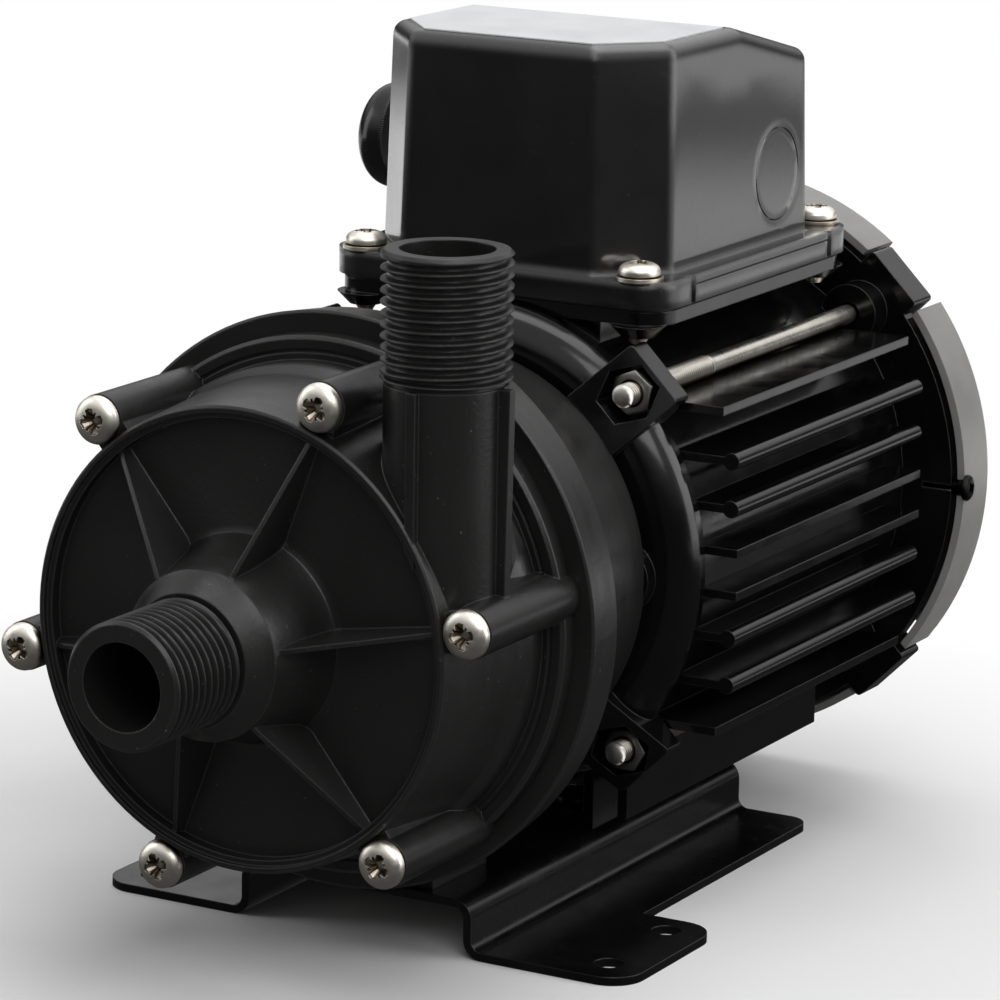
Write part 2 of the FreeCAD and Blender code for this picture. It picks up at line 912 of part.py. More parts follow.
def bracket():
    """Thick front flange on a tapered neck that ends in a bolted floor, with a pad for the base."""
    body = turned([
        (joint_face, bracket_bore_r),
        (joint_face, bracket_face_r),
        (joint_face + bracket_edge, bracket_r),
        (bracket_flange_end - bracket_edge, bracket_flange_end_r),
        (bracket_flange_end, bracket_flange_end_r - bracket_edge),
        (bracket_flange_end, neck_front_r),
        (bracket_end, neck_end_r),
        (bracket_end, bracket_opening_r),
        (neck_floor, bracket_opening_r),
        (neck_floor, bracket_bore_r),
    ])
    half = bracket_pad_half_width
    pad = box(-half, half, bracket_pad_front, bracket_pad_end, base_top, bracket_pad_top)
    body = body.fuse(pad.cut(cyl(bracket_bore_r, joint_face, bracket_end))).removeSplitter()
    for x, z in screw_places():
        body = body.cut(cyl(screw_r + tapped_gap, joint_face - 1, screw_end, x, z))
    for x, z in bracket_screw_places():
        body = body.cut(cyl(screw_hole_r, neck_floor - 1, bracket_end + 1, x, z))
        head_r = bracket_screw_head_r + counterbore_play
        body = body.cut(cyl(head_r, neck_floor - bracket_screw_head_height, neck_floor, x, z))
    for x, y in bracket_foot_screw_places():
        body = body.cut(column(screw_r + tapped_gap, x, y, base_top - 1, base_top + bracket_foot_hole_reach))
    return body


def bracket_foot_screw_places():
    return [(side * bracket_foot_screw_x, bracket_foot_screw_y) for side in (1, -1)]


def bracket_screw_places():
    step = 360.0 / bracket_screw_count
    return [on_circle(bracket_screw_circle_r, step * i) for i in range(bracket_screw_count)]


def bracket_screws():
    """Four socket head screws inside the neck."""
    solids = []
    front = neck_floor - bracket_screw_head_height
    for x, z in bracket_screw_places():
        head = cyl(bracket_screw_head_r, front, neck_floor, x, z)
        socket = hexagon(socket_across, V(x, front, z), AXIS, socket_depth)
        shank = cyl(bracket_screw_r, neck_floor - head_overlap, bracket_screw_end, x, z)
        solids.append(fuse([head.cut(socket), shank]))
    return Part.makeCompound(solids)


def bracket_foot_screws():
    """Two pan head screws up through the base into the bracket pad."""
    solids = []
    seat = base_top - base_sheet
    for x, y in bracket_foot_screw_places():
        head = domed_head(pan_head_r, pan_head_height)
        head.rotate(V(0, 0, 0), V(1, 0, 0), 180)
        head.translate(V(x, y, seat))
        shank = column(screw_r, x, y, seat - head_overlap, base_top + bracket_foot_screw_reach)
        solids.append(fuse([head, shank]))
    return Part.makeCompound(solids)


def drive_yoke():
    """Steel cup that carries the drive magnets, with a hub clamped on the motor shaft."""
    body = turned([
        (yoke_front, yoke_bore_r),
        (yoke_front, yoke_r - yoke_front_edge),
        (yoke_front + yoke_front_edge, yoke_r),
        (yoke_end - yoke_rear_edge, yoke_r),
        (yoke_end, yoke_r - yoke_rear_edge),
        (yoke_end, yoke_hub_r),
        (yoke_hub_end, yoke_hub_r),
        (yoke_hub_end, shaft_r + shaft_fit),
        (yoke_floor, shaft_r + shaft_fit),
        (yoke_floor, yoke_bore_r),
    ])
    hole = column(set_screw_r + tapped_gap, 0, set_screw_station, shaft_r - 1, yoke_hub_r + 1)
    return body.cut(hole)


def drive_magnets():
    """Eight arc magnets bonded to the inside of the yoke."""
    solids = []
    full = ring(drive_magnet_inner_r, yoke_bore_r - seat_gap, drive_magnet_front, drive_magnet_end)
    span = 360.0 / drive_magnet_count - drive_magnet_gap_angle
    for i in range(drive_magnet_count):
        start = 360.0 * i / drive_magnet_count
        wedge = Part.makeCylinder(yoke_r, drive_magnet_end, V(0, 0, 0), AXIS, span)
        solids.append(full.common(spin(wedge, start)))
    return Part.makeCompound(solids)


def set_screw():
    return column(set_screw_r, 0, set_screw_station, shaft_r + shaft_fit, yoke_hub_r - set_screw_sink)


def ear_block(reach, start, end, root):
    """Square ended ear along +X, turned to 45 degrees by its user."""
    block = box(root, reach, start, end, -ear_width / 2, ear_width / 2)
    outer = [e for e in block.Edges if e.CenterOfMass.x > reach - 1 and e.Vertexes[0].Z == e.Vertexes[-1].Z]
    outer = [e for e in outer if abs(e.tangentAt(e.FirstParameter).y) > 0.9]
    return block.makeFillet(ear_corner_r, outer)


def front_ear():
    """Ear whose face leans forward from its tip to the back of the bracket."""
    block = ear_block(ear_reach, ear_inner_front, bell_end, ear_root_r)
    low = -ear_width / 2 - 1
    wedge = prism([V(ear_inner_r, ear_inner_front, low), V(ear_reach, ear_front, low),
                   V(ear_reach + 1, ear_front, low), V(ear_reach + 1, ear_inner_front - 1, low),
                   V(ear_inner_r, ear_inner_front - 1, low)], V(0, 0, ear_width + 2))
    return block.cut(wedge)


def tie_points():
    return [(tie_offset * sx, tie_offset * sz) for sx in (1, -1) for sz in (1, -1)]


def front_end_bell():
    """Shallow domed end bell with bearing hub, bracket bosses and four ears with nut pockets."""
    spigot_end = bell_end + frame_spigot
    dome = [V(bell_plate_r, bell_plate_front, 0)]
    dome += [V(bell_shoulder_r - inset, station, 0) for station, inset in bell_curve]
    dome += [V(bell_shoulder_r, bell_shoulder, 0)]
    shoulder = Part.BSplineCurve()
    shoulder.interpolate(dome)
    corners = [
        V(bell_shoulder_r, bell_shoulder, 0),
        V(bell_r, bell_end, 0),
        V(frame_spigot_r, bell_end, 0),
        V(frame_spigot_r, spigot_end, 0),
        V(bell_inner_r, spigot_end, 0),
        V(bell_inner_r, bell_plate_back, 0),
        V(bell_hub_r, bell_plate_back, 0),
        V(bell_hub_r, bell_end, 0),
        V(bell_shaft_hole_r, bell_end, 0),
        V(bell_shaft_hole_r, bell_hub_front, 0),
        V(bell_hub_r - bell_hub_edge, bell_hub_front, 0),
        V(bell_hub_r, bell_hub_front + bell_hub_edge, 0),
        V(bell_hub_foot_r, bell_plate_front, 0),
        V(bell_plate_r, bell_plate_front, 0),
    ]
    edges = [shoulder.toShape()]
    edges += [Part.makeLine(a, b) for a, b in zip(corners, corners[1:])]
    body = Part.Face(Part.Wire(edges)).revolve(V(0, 0, 0), AXIS, 360)
    bosses = [cyl(bracket_boss_r, bracket_end, bell_floor, x, z) for x, z in bracket_screw_places()]
    body = fuse([body] + around(front_ear(), 4, 45) + bosses)
    hub = cyl(bell_hub_r, bell_hub_front, bell_end)
    body = body.cut(cyl(bell_inner_r, bell_floor, spigot_end + 1).cut(hub))
    body = body.cut(cyl(bearing_r + seat_gap, front_bearing_front, bell_end + 1))
    front = ear_inner_front - 1
    for x, z in tie_points():
        pocket = hexagon(pocket_across, V(x, front, z), AXIS, pocket_floor - front, ear_turn)
        body = body.cut(pocket.fuse(cyl(tie_hole_r, front, bell_end + 1, x, z)))
    for x, z in bracket_screw_places():
        body = body.cut(cyl(bracket_screw_r + tapped_gap, bracket_end - 1, bell_floor, x, z))
    return body.removeSplitter()


def motor_fins():
    """Horizontal fins on both flanks; the outer rows of each half carry a round bead."""
    shapes = []
    for level, reach, beaded in fin_rows:
        for sign in (1, -1):
            z = fin_shift + sign * level
            half = fin_thickness / 2
            bead = fin_bead_r if beaded else 0.0
            plate = box(-(reach - bead), reach - bead, fin_front, fin_end, z - half, z + half)
            shapes.append(plate)
            if beaded:
                for side in (1, -1):
                    shapes.append(cyl(fin_bead_r, fin_front, fin_end, side * (reach - bead), z))
    return shapes


def terminal_seat():
    """Top pad for the terminal box with hollow neck and four screw bosses under its corners."""
    plate = rounded_plate(seat_half_width, seat_front, seat_end, seat_bottom, seat_top, seat_corner_r)
    neck = box(-neck_half_width, neck_half_width, seat_front + seat_front_gap, seat_end - seat_rear_gap,
               seat_neck_foot, seat_bottom)
    shapes = [plate, neck]
    for x, y in box_screw_places():
        shapes.append(Part.makeCone(boss_end_r, boss_top_r, seat_bottom - boss_bottom, V(x, y, boss_bottom)))
    return shapes


def frame_feet():
    """Side skirts below the fins and two legs with inward flanges that stand on the base."""
    shapes = []
    for side in (1, -1):
        x0, x1 = sorted((side * (skirt_outer_x - skirt_thickness), side * skirt_outer_x))
        shapes.append(box(x0, x1, frame_front, fin_end, skirt_bottom, skirt_top))
        x0, x1 = sorted((side * (foot_outer_x - leg_thickness), side * foot_outer_x))
        shapes.append(box(x0, x1, foot_front, foot_end, base_top, foot_top))
        x0, x1 = sorted((side * foot_inner_x, side * foot_outer_x))
        shapes.append(box(x0, x1, foot_front, foot_end, base_top, foot_flange_top))
    return shapes


def base_screw_points():
    rows = (foot_front + base_screw_inset, foot_end - base_screw_inset)
    return [(side * base_screw_x, y) for side in (1, -1) for y in rows]


def motor_frame():
    """Finned shell with the terminal seat above and the foot below."""
    shell = cyl(frame_r, frame_front, frame_end)
    body = fuse([shell] + motor_fins() + terminal_seat() + frame_feet())
    for x, z in tie_points():
        body = body.cut(cyl(tie_thread_r + tie_clearance, frame_front - 1, frame_end + 1, x, z))
    body = body.cut(cyl(frame_bore_r, frame_front - 1, frame_end + 1))
    body = body.cut(column(lead_hole_r, 0, box_centre, seat_neck_foot - 1, seat_top + 1))
    for x, y in box_screw_places():
        body = body.cut(column(screw_r + tapped_gap, x, y, box_hole_bottom, box_hole_top))
    for x, y in base_screw_points():
        body = body.cut(column(screw_hole_r, x, y, base_top - 1, foot_flange_top + 1))
    return body.removeSplitter()


def stator_core():
    """Laminated ring with twelve open slots."""
    start, end = stator_front - 1, stator_end + 1
    body = ring(stator_inner_r, frame_bore_r - seat_gap, stator_front, stator_end)
    slot = box(slot_inner_r, slot_outer_r, start, end, -slot_width / 2, slot_width / 2)
    mouth = box(stator_inner_r - 1, slot_inner_r + 1, start, end, -slot_mouth_half_width, slot_mouth_half_width)
    return body.cut(fuse(around(fuse([slot, mouth]), slot_count)))


def stator_windings():
    """Copper in the slots joined by the two end turns."""
    half = slot_width / 2 - winding_gap
    bar = box(slot_inner_r + winding_gap, slot_outer_r - winding_gap, stator_front - 1, stator_end + 1, -half, half)
    front = ring(winding_inner_r, winding_outer_r, stator_front - winding_overhang, stator_front - end_turn_gap)
    rear = ring(winding_inner_r, winding_outer_r, stator_end + end_turn_gap, stator_end + winding_overhang)
    return fuse([front, rear] + around(bar, slot_count))


def rotor_core():
    return ring(shaft_rotor_r + shaft_fit, rotor_r, rotor_front, rotor_end)


def motor_shaft():
    """Stepped shaft from the drive yoke to the fan."""
    shoulder_front = front_bearing_front + bearing_width
    return turned([
        (shaft_front, 0.0),
        (shaft_front, shaft_r - shaft_tip),
        (shaft_front + shaft_tip, shaft_r),
        (shoulder_front, shaft_r),
        (shoulder_front, shaft_shoulder_r),
        (shaft_shoulder_end, shaft_shoulder_r),
        (shaft_shoulder_end, shaft_rotor_r),
        (rear_bearing_front, shaft_rotor_r),
        (rear_bearing_front, shaft_r),
        (shaft_end - shaft_tip, shaft_r),
        (shaft_end, shaft_r - shaft_tip),
        (shaft_end, 0.0),
    ])


def ball_track(start):
    """Torus that the balls run in, with their play."""
    centre = V(track_r, start + bearing_width / 2, 0)
    circle = Part.Wire(Part.makeCircle(ball_r + ball_track_play, centre, V(0, 0, 1)))
    return Part.Face(circle).revolve(V(0, 0, 0), AXIS, 360)


def bearing_outer_ring(start):
    body = ring(bearing_outer_inner_r, bearing_r, start, start + bearing_width)
    return body.cut(ball_track(start))


def bearing_inner_ring(start):
    body = ring(bearing_bore_r + bearing_fit, bearing_inner_outer_r, start, start + bearing_width)
    return body.cut(ball_track(start))


def bearing_balls(start):
    """Cage ring with its balls, one solid that turns between the rings."""
    middle = start + bearing_width / 2
    cage = ring(track_r - cage_half_thickness, track_r + cage_half_thickness,
                middle - cage_half_width, middle + cage_half_width)
    for i in range(ball_count):
        x, z = on_circle(track_r, 360.0 * i / ball_count)
        cage = cage.fuse(Part.makeSphere(ball_r, V(x, middle, z)))
    return cage


def wave_washer():
    start = rear_bearing_front + bearing_width
    return ring(wave_washer_inner_r, wave_washer_outer_r, start, start + wave_washer_height)


def rear_end_bell():
    """Rear bell: spoked flange that carries the fan cover, four ears and the bearing housing."""
    barrel = ring(rear_bell_inner_r, rear_bell_r, frame_end, rear_flange_end)
    spigot = ring(bell_inner_r, frame_spigot_r, frame_end - frame_spigot, frame_end + 1)
    disc = ring(rear_bell_inner_r, rear_flange_r, rear_flange_front, rear_flange_end)
    web = ring(bell_shaft_hole_r, rear_bell_r, rear_seat_floor, rear_flange_end)
    window = ring(rear_window_inner_r, rear_window_outer_r, rear_seat_floor - 1, rear_flange_end + 1)
    half = rear_spoke_width / 2
    spoke = box(0, rear_bell_r, rear_seat_floor - 1, rear_flange_end + 1, -half, half)
    window = window.cut(fuse(around(spoke, rear_spoke_count, 180.0 / rear_spoke_count)))
    housing = ring(bearing_r + seat_gap, housing_r, housing_front, rear_seat_floor)
    ears = around(ear_block(rear_ear_reach, rear_flange_front, rear_ear_end, rear_ear_root_r), 4, 45)
    boss_front = rear_flange_front - rear_ear_boss_length
    bosses = [cyl(rear_ear_boss_r, boss_front, rear_flange_end, x, z) for x, z in tie_points()]
    body = fuse([barrel, spigot, disc, web.cut(window), housing] + ears + bosses)
    for x, z in tie_points():
        body = body.cut(cyl(tie_hole_r, frame_end - 1, rear_ear_end + 1, x, z))
    for side in (1, -1):
        tip = side * (cover_r - cover_screw_length - 1)
        hole = crossbar(cover_screw_r + tapped_gap, tip, side * cover_r, cover_screw_y, 0)
        body = body.cut(hole)
    return body.removeSplitter()


def tie_bolts():
    """Four long bolts outside the frame, thick at the threaded front end."""
    solids = []
    thread_end = tie_bolt_end + tie_thread_length
    for x, z in tie_points():
        thread = cyl(tie_thread_r, tie_bolt_end, thread_end, x, z)
        shank = cyl(tie_shank_r, thread_end, rear_ear_end + tie_head_overlap, x, z)
        head = hexagon(hex_nut_across, V(x, rear_ear_end, z), AXIS, tie_head_height, ear_turn)
        solids.append(fuse([thread, shank, head]))
    return Part.makeCompound(solids)


def tie_nuts():
    solids = []
    front = pocket_floor - hex_nut_height
    for x, z in tie_points():
        nut = hexagon(hex_nut_across, V(x, front, z), AXIS, hex_nut_height, ear_turn)
        solids.append(nut.cut(cyl(tie_thread_r + tapped_gap, front - 1, pocket_floor + 1, x, z)))
    return Part.makeCompound(solids)


def fan():
    """Radial blades on a plate around the hub."""
    hub = cyl(fan_hub_r, fan_front, fan_end)
    plate = cyl(fan_plate_r, fan_front, fan_front + fan_plate)
    half = fan_blade_thickness / 2
    blade = box(fan_hub_r - 1, fan_r, fan_front, fan_end - fan_blade_step, -half, half)
    body = fuse([hub, plate] + around(blade, fan_blade_count))
    return body.cut(cyl(shaft_r + shaft_fit, fan_front - 1, fan_end + 1))


def capped_cylinder(radius, end, edge_r):
    """Cylinder from before the cover's front to `end` with its rear edge rounded."""
    body = cyl(radius, cover_front, end)
    rear = [e for e in body.Edges if e.CenterOfMass.y > end - edge_r]
    return body.makeFillet(edge_r, [e for e in rear if e.Closed])


def fan_cover():
    """Round cap with a soft rear edge, slotted grille and a notch for every ear."""
    inner_end = cover_end - cover_wall
    body = capped_cylinder(cover_r, cover_end, cover_edge_r)
    body = body.cut(capped_cylinder(cover_r - cover_wall, inner_end, cover_edge_r - cover_wall))
    half = grille_spoke / 2
    spoke = box(0, cover_r, inner_end - 1, cover_end + 1, -half, half)
    spokes = fuse(around(spoke, grille_spoke_count, 180.0 / grille_spoke_count))
    slots = [ring(r, r + grille_slot, inner_end - 1, cover_end + 1) for r in grille_rows]
    body = body.cut(fuse(slots).cut(spokes))
    half = cover_notch_width / 2
    notch = box(cover_r - cover_notch_depth, cover_r + 1, cover_front - 1, cover_end + 1, -half, half)
    body = body.cut(fuse(around(notch, 4, 45)))
    for side in (1, -1):
        inner_x = side * (cover_r - cover_wall - 1)
        hole_r = cover_screw_r + cover_screw_clearance
        body = body.cut(crossbar(hole_r, inner_x, side * (cover_r + 1), cover_screw_y, 0))
    return body


def cover_screws():
    """Two small screws that hold the fan cover to the rear bell, left and right."""
    solids = []
    for side in (1, -1):
        tip = side * (cover_r - cover_screw_length)
        shank = crossbar(cover_screw_r, tip, side * cover_r, cover_screw_y, 0)
        head = domed_head(cover_screw_head_r, cover_screw_head_height)
        head.rotate(V(0, 0, 0), V(0, 1, 0), side * 90)
        head.translate(V(side * cover_r, cover_screw_y, 0))
        solids.append(fuse([shank, head]))
    return Part.makeCompound(solids)


def box_outline(half_x, half_y, z):
    """Rectangle with its four corners cut off, as a wire at height z."""
    points = []
    for sx, sy in ((1, -1), (1, 1), (-1, 1), (-1, -1)):
        cut_y = box_front_cut_y if sy < 0 else box_rear_cut_y
        first = V(sx * (half_x - box_cut_x), box_centre + sy * half_y, z)
        second = V(sx * half_x, box_centre + sy * (half_y - cut_y), z)
        points += [first, second] if sx * sy < 0 else [second, first]
    return Part.makePolygon(points + points[:1])


def box_prism(shrink, bottom, top):
    """Drafted eight sided body with a level roof."""
    half_x = box_half_width + box_foot_spread - shrink
    half_y = box_half_length + box_foot_spread - shrink
    lean = box_draft * (top - bottom) / (box_top - box_flange_top)
    low = box_outline(half_x, half_y, bottom)
    high = box_outline(half_x - lean, half_y - lean, top)
    return Part.makeLoft([low, high], True)


def box_body(shrink, bottom, top):
    """Drafted body whose roof falls away behind the ridge."""
    side = box_flange_half_width
    reach = 2 * box_flange_half_length
    wedge = prism([V(-side, box_ridge_y, top), V(-side, box_ridge_y + reach, top - box_slope * reach),
                   V(-side, box_ridge_y + reach, top + 1), V(-side, box_ridge_y, top + 1)], V(2 * side, 0, 0))
    return box_prism(shrink, bottom, top).cut(wedge)


def terminal_box_cover():
    """Box cover with bottom flange, corner facets over the screws, cable entry and knock-out."""
    outer = box_body(0.0, box_bottom, box_top)
    middle = (box_flange_top + box_top) / 2
    tops = [e for e in outer.Edges if min(v.Z for v in e.Vertexes) > middle]
    outer = outer.makeFillet(box_edge_r, tops)
    front, rear = box_centre - box_flange_half_length, box_centre + box_flange_half_length
    flange = rounded_plate(box_flange_half_width, front, rear, box_bottom, box_flange_top, box_flange_corner_r)
    body = fuse([outer, flange]).cut(box_body(box_wall, box_bottom - 1, box_top - box_wall))
    for x, y in box_screw_places():
        body = body.cut(column(screw_hole_r, x, y, box_bottom - 1, box_flange_top + 1))
    wall = box_half_width
    entry = crossbar(entry_r + entry_clearance, -wall - 1, -wall + 2 * box_wall, entry_y, entry_z)
    mark = crossbar(knockout_r, wall - knockout_depth, wall + 1, knockout_y, entry_z)
    mark = mark.cut(crossbar(knockout_r - knockout_groove, wall - 2 * box_wall, wall + 2, knockout_y, entry_z))
    return body.cut(entry).cut(mark).removeSplitter()


def terminal_gasket():
    front = box_centre - box_flange_half_length + gasket_front_gap
    rear = box_centre + box_flange_half_length - gasket_rear_gap
    half = seat_half_width - gasket_side_gap
    plate = rounded_plate(half, front, rear, seat_top, box_bottom, seat_corner_r)
    plate = plate.cut(box_prism(box_wall, seat_top - 1, box_bottom + 1))
    for x, y in box_screw_places():
        plate = plate.cut(column(screw_hole_r, x, y, seat_top - 1, box_bottom + 1))
    return plate


def box_screw_places():
    ends = (box_centre - box_screw_y, box_centre + box_screw_y)
    return [(side * box_screw_x, y) for side in (1, -1) for y in ends]


def box_screws():
    solids = []
    seat = box_flange_top + washer_thickness
    for x, y in box_screw_places():
        head = domed_head(small_head_r, small_head_height)
        head.translate(V(x, y, seat))
        solids.append(fuse([head, column(screw_r, x, y, box_screw_tip, seat + head_overlap)]))
    return Part.makeCompound(solids)


def box_washers():
    solids = []
    top = box_flange_top + washer_thickness
    for x, y in box_screw_places():
        disc = column(washer_r, x, y, box_flange_top, top)
        solids.append(disc.cut(column(screw_hole_r, x, y, box_flange_top - 1, top + 1)))
    return Part.makeCompound(solids)


def label_plate():
    """Thin bare plate that follows the front corners of the roof."""
    return prism([
        V(label_corner_x, label_front, box_top),
        V(label_half_width, label_corner_y, box_top),
        V(label_half_width, label_end, box_top),
        V(-label_half_width, label_end, box_top),
        V(-label_half_width, label_corner_y, box_top),
        V(-label_corner_x, label_front, box_top),
    ], V(0, 0, label_thickness))


def gland_tube(radius, start, length):
    """Cylinder on the gland line, measured outwards from the wall of the box."""
    wall = -box_half_width
    return Part.makeCylinder(radius, length, V(wall - start, entry_y, entry_z), V(-1, 0, 0))


def gland_body():
    """Collar, hexagon, threaded stub into the box and the neck that holds the seal."""
    hex_end = gland_flange + gland_hex_length
    collar = gland_tube(gland_flange_r, 0.0, gland_flange)
    foot = V(-box_half_width - gland_flange, entry_y, entry_z)
    grip = hexagon(gland_hex_across, foot, V(-1, 0, 0), gland_hex_length)
    stub = gland_tube(gland_thread_r, -gland_thread_length, gland_thread_length)
    neck = gland_tube(gland_neck_r, hex_end, gland_neck_length)
    seat = gland_tube(gland_seal_r + gland_seal_play, gland_seal_start, hex_end + gland_neck_length)
    hole = gland_tube(gland_hole_r, -gland_thread_length - 1, gland_thread_length + hex_end + 2)
    return fuse([collar, grip, stub, neck]).cut(fuse([seat, hole]))


def gland_seal():
    sleeve = gland_tube(gland_seal_r, gland_seal_start, gland_seal_length)
    return sleeve.cut(gland_tube(gland_seal_bore_r, gland_seal_start - 1, gland_seal_length + 2))


def gland_nut():
    """Round cap with a domed mouth; its plain side takes the place of the grip ridges."""
    start = gland_flange + gland_hex_length + gland_nut_gap
    tip = start + gland_nut_length
    top = V(gland_hole_r, 0, gland_dome)
    shoulder = V(gland_nut_r * gland_dome_shoulder, 0, gland_dome * gland_dome_rise)
    arc = Part.Arc(V(gland_nut_r, 0, 0), shoulder, top)
    edges = [Part.makeLine(V(0, 0, 0), V(gland_nut_r, 0, 0)), arc.toShape(),
             Part.makeLine(top, V(0, 0, gland_dome)), Part.makeLine(V(0, 0, gland_dome), V(0, 0, 0))]
    dome = Part.Face(Part.Wire(edges)).revolve(V(0, 0, 0), V(0, 0, 1), 360)
    dome.rotate(V(0, 0, 0), V(0, 1, 0), -90)
    dome.translate(V(-box_half_width - tip, entry_y, entry_z))
    body = fuse([gland_tube(gland_nut_r, start, gland_nut_length), dome])
    body = body.cut(gland_tube(gland_neck_r + gland_nut_play, start - 1, gland_nut_depth + 1))
    return body.cut(gland_tube(gland_hole_r, start, gland_nut_length + gland_dome + 1))


def gland_locknut():
    inner_x = box_wall + locknut_gap - box_half_width
    nut = crossbar(locknut_r, inner_x, inner_x + locknut_height, entry_y, entry_z)
    bore_r = gland_thread_r + tapped_gap
    return nut.cut(crossbar(bore_r, inner_x - 1, inner_x + locknut_height + 1, entry_y, entry_z))


def capacitor():
    """Round run capacitor lying across the box."""
    return crossbar(capacitor_r, capacitor_start, capacitor_start + capacitor_length, capacitor_y, capacitor_z)


def base_section():
    """Folded sheet section across the base: raised channel and two flanges, without its bends."""
    low, floor = base_top, -shaft_height
    outer_x, inner_x = base_wall_outer_x, base_wall_outer_x - base_sheet
    half = tab_half_width
    corners = [(-half, floor), (-inner_x, floor), (-inner_x, low - base_sheet), (inner_x, low - base_sheet),
               (inner_x, floor), (half, floor), (half, floor + base_sheet), (outer_x, floor + base_sheet),
               (outer_x, low), (-outer_x, low), (-outer_x, floor + base_sheet), (-half, floor + base_sheet)]
    return prism([V(x, base_front, z) for x, z in corners], V(0, base_end - base_front, 0))


def bend_edges(body, x, z):
    """Lengthwise edges of the section at this distance from the middle and this height."""
    found = []
    for e in body.Edges:
        c = e.CenterOfMass
        lengthwise = abs(e.tangentAt(e.FirstParameter).y) > 0.9
        if lengthwise and abs(abs(c.x) - x) < seat_gap and abs(c.z - z) < seat_gap:
            found.append(e)
    return found


def base_plate():
    """Folded sheet: raised channel, two flanges, wide tabs at the front with the mounting holes."""
    low, floor = base_top, -shaft_height
    outer_x, inner_x = base_wall_outer_x, base_wall_outer_x - base_sheet
    bend_r = min(base_bend_r, base_bend_share * (low - floor))
    body = base_section()
    body = body.makeFillet(bend_r, bend_edges(body, outer_x, low))
    body = body.makeFillet(bend_r - base_sheet, bend_edges(body, inner_x, low - base_sheet))
    body = body.makeFillet(bend_r, bend_edges(body, inner_x, floor))
    body = body.makeFillet(bend_r - base_sheet, bend_edges(body, outer_x, floor + base_sheet))
    bottom, top = floor - 1, low + 1
    tabs = rounded_plate(tab_half_width, base_front, tab_end, bottom, top, tab_corner_r)
    rear = rounded_plate(foot_half_width, base_front, base_end, bottom, top, foot_corner_r)
    front_fill = box(-outer_x, outer_x, base_front, tab_end, bottom, top)
    body = body.common(fuse([tabs, rear, front_fill]))
    for x in (mount_hole_x, -mount_hole_x):
        for y in mount_hole_rows:
            body = body.cut(column(mount_hole_r, x, y, bottom, floor + base_sheet + 1))
    for x, y in base_screw_points() + bracket_foot_screw_places():
        body = body.cut(column(screw_hole_r, x, y, low - base_sheet - 1, top))
    return body.removeSplitter()


def base_screws():
    """Four screws down through the foot flanges and the base."""
    solids = []
    bottom = base_top - base_sheet - hex_nut_height - base_screw_tip
    for x, y in base_screw_points():
        head = domed_head(pan_head_r, pan_head_height)
        head.translate(V(x, y, foot_flange_top))
        solids.append(fuse([head, column(screw_r, x, y, bottom, foot_flange_top + head_overlap)]))
    return Part.makeCompound(solids)


def base_nuts():
    solids = []
    seat = base_top - base_sheet
    for x, y in base_screw_points():
        nut = hexagon(hex_nut_across, V(x, y, seat), V(0, 0, -1), hex_nut_height)
        solids.append(nut.cut(column(screw_r + tapped_gap, x, y, seat - hex_nut_height - 1, seat + 1)))
    return Part.makeCompound(solids)


def terminal_block():
    """Insulating block on the floor of the box with raised walls between the studs."""
    half = block_length / 2
    front, rear = block_y - block_depth / 2, block_y + block_depth / 2
    shapes = [box(-half, half, front, rear, seat_top, seat_top + block_floor)]
    for i in range(stud_count + 1):
        x = (i - stud_count / 2) * stud_pitch
        wall = block_wall_half_width
        shapes.append(box(x - wall, x + wall, front, rear, seat_top, seat_top + block_height))
    body = fuse(shapes)
    for x, y in stud_places():
        body = body.cut(column(stud_r + tapped_gap, x, y, seat_top + stud_foot, seat_top + block_height))
    return body


def stud_places():
    return [((i - (stud_count - 1) / 2) * stud_pitch, block_y) for i in range(stud_count)]


def terminal_studs():
    """Threaded studs, each with its nut."""
    solids = []
    top = seat_top + block_floor
    for x, y in stud_places():
        shank = column(stud_r, x, y, seat_top + stud_foot, top + stud_rise)
        nut = hexagon(stud_nut_across, V(x, y, top), V(0, 0, 1), stud_nut_height)
        solids.append(fuse([shank, nut]))
    return Part.makeCompound(solids)


def capacitor_clip():
    """Saddle that carries the capacitor on the seat of the frame."""
    body = box(clip_start, clip_end, capacitor_y - clip_half_depth, capacitor_y + clip_half_depth,
               seat_top, clip_top)
    return body.cut(crossbar(capacitor_r + clip_fit, clip_start - 1, clip_end + 1, capacitor_y, capacitor_z))


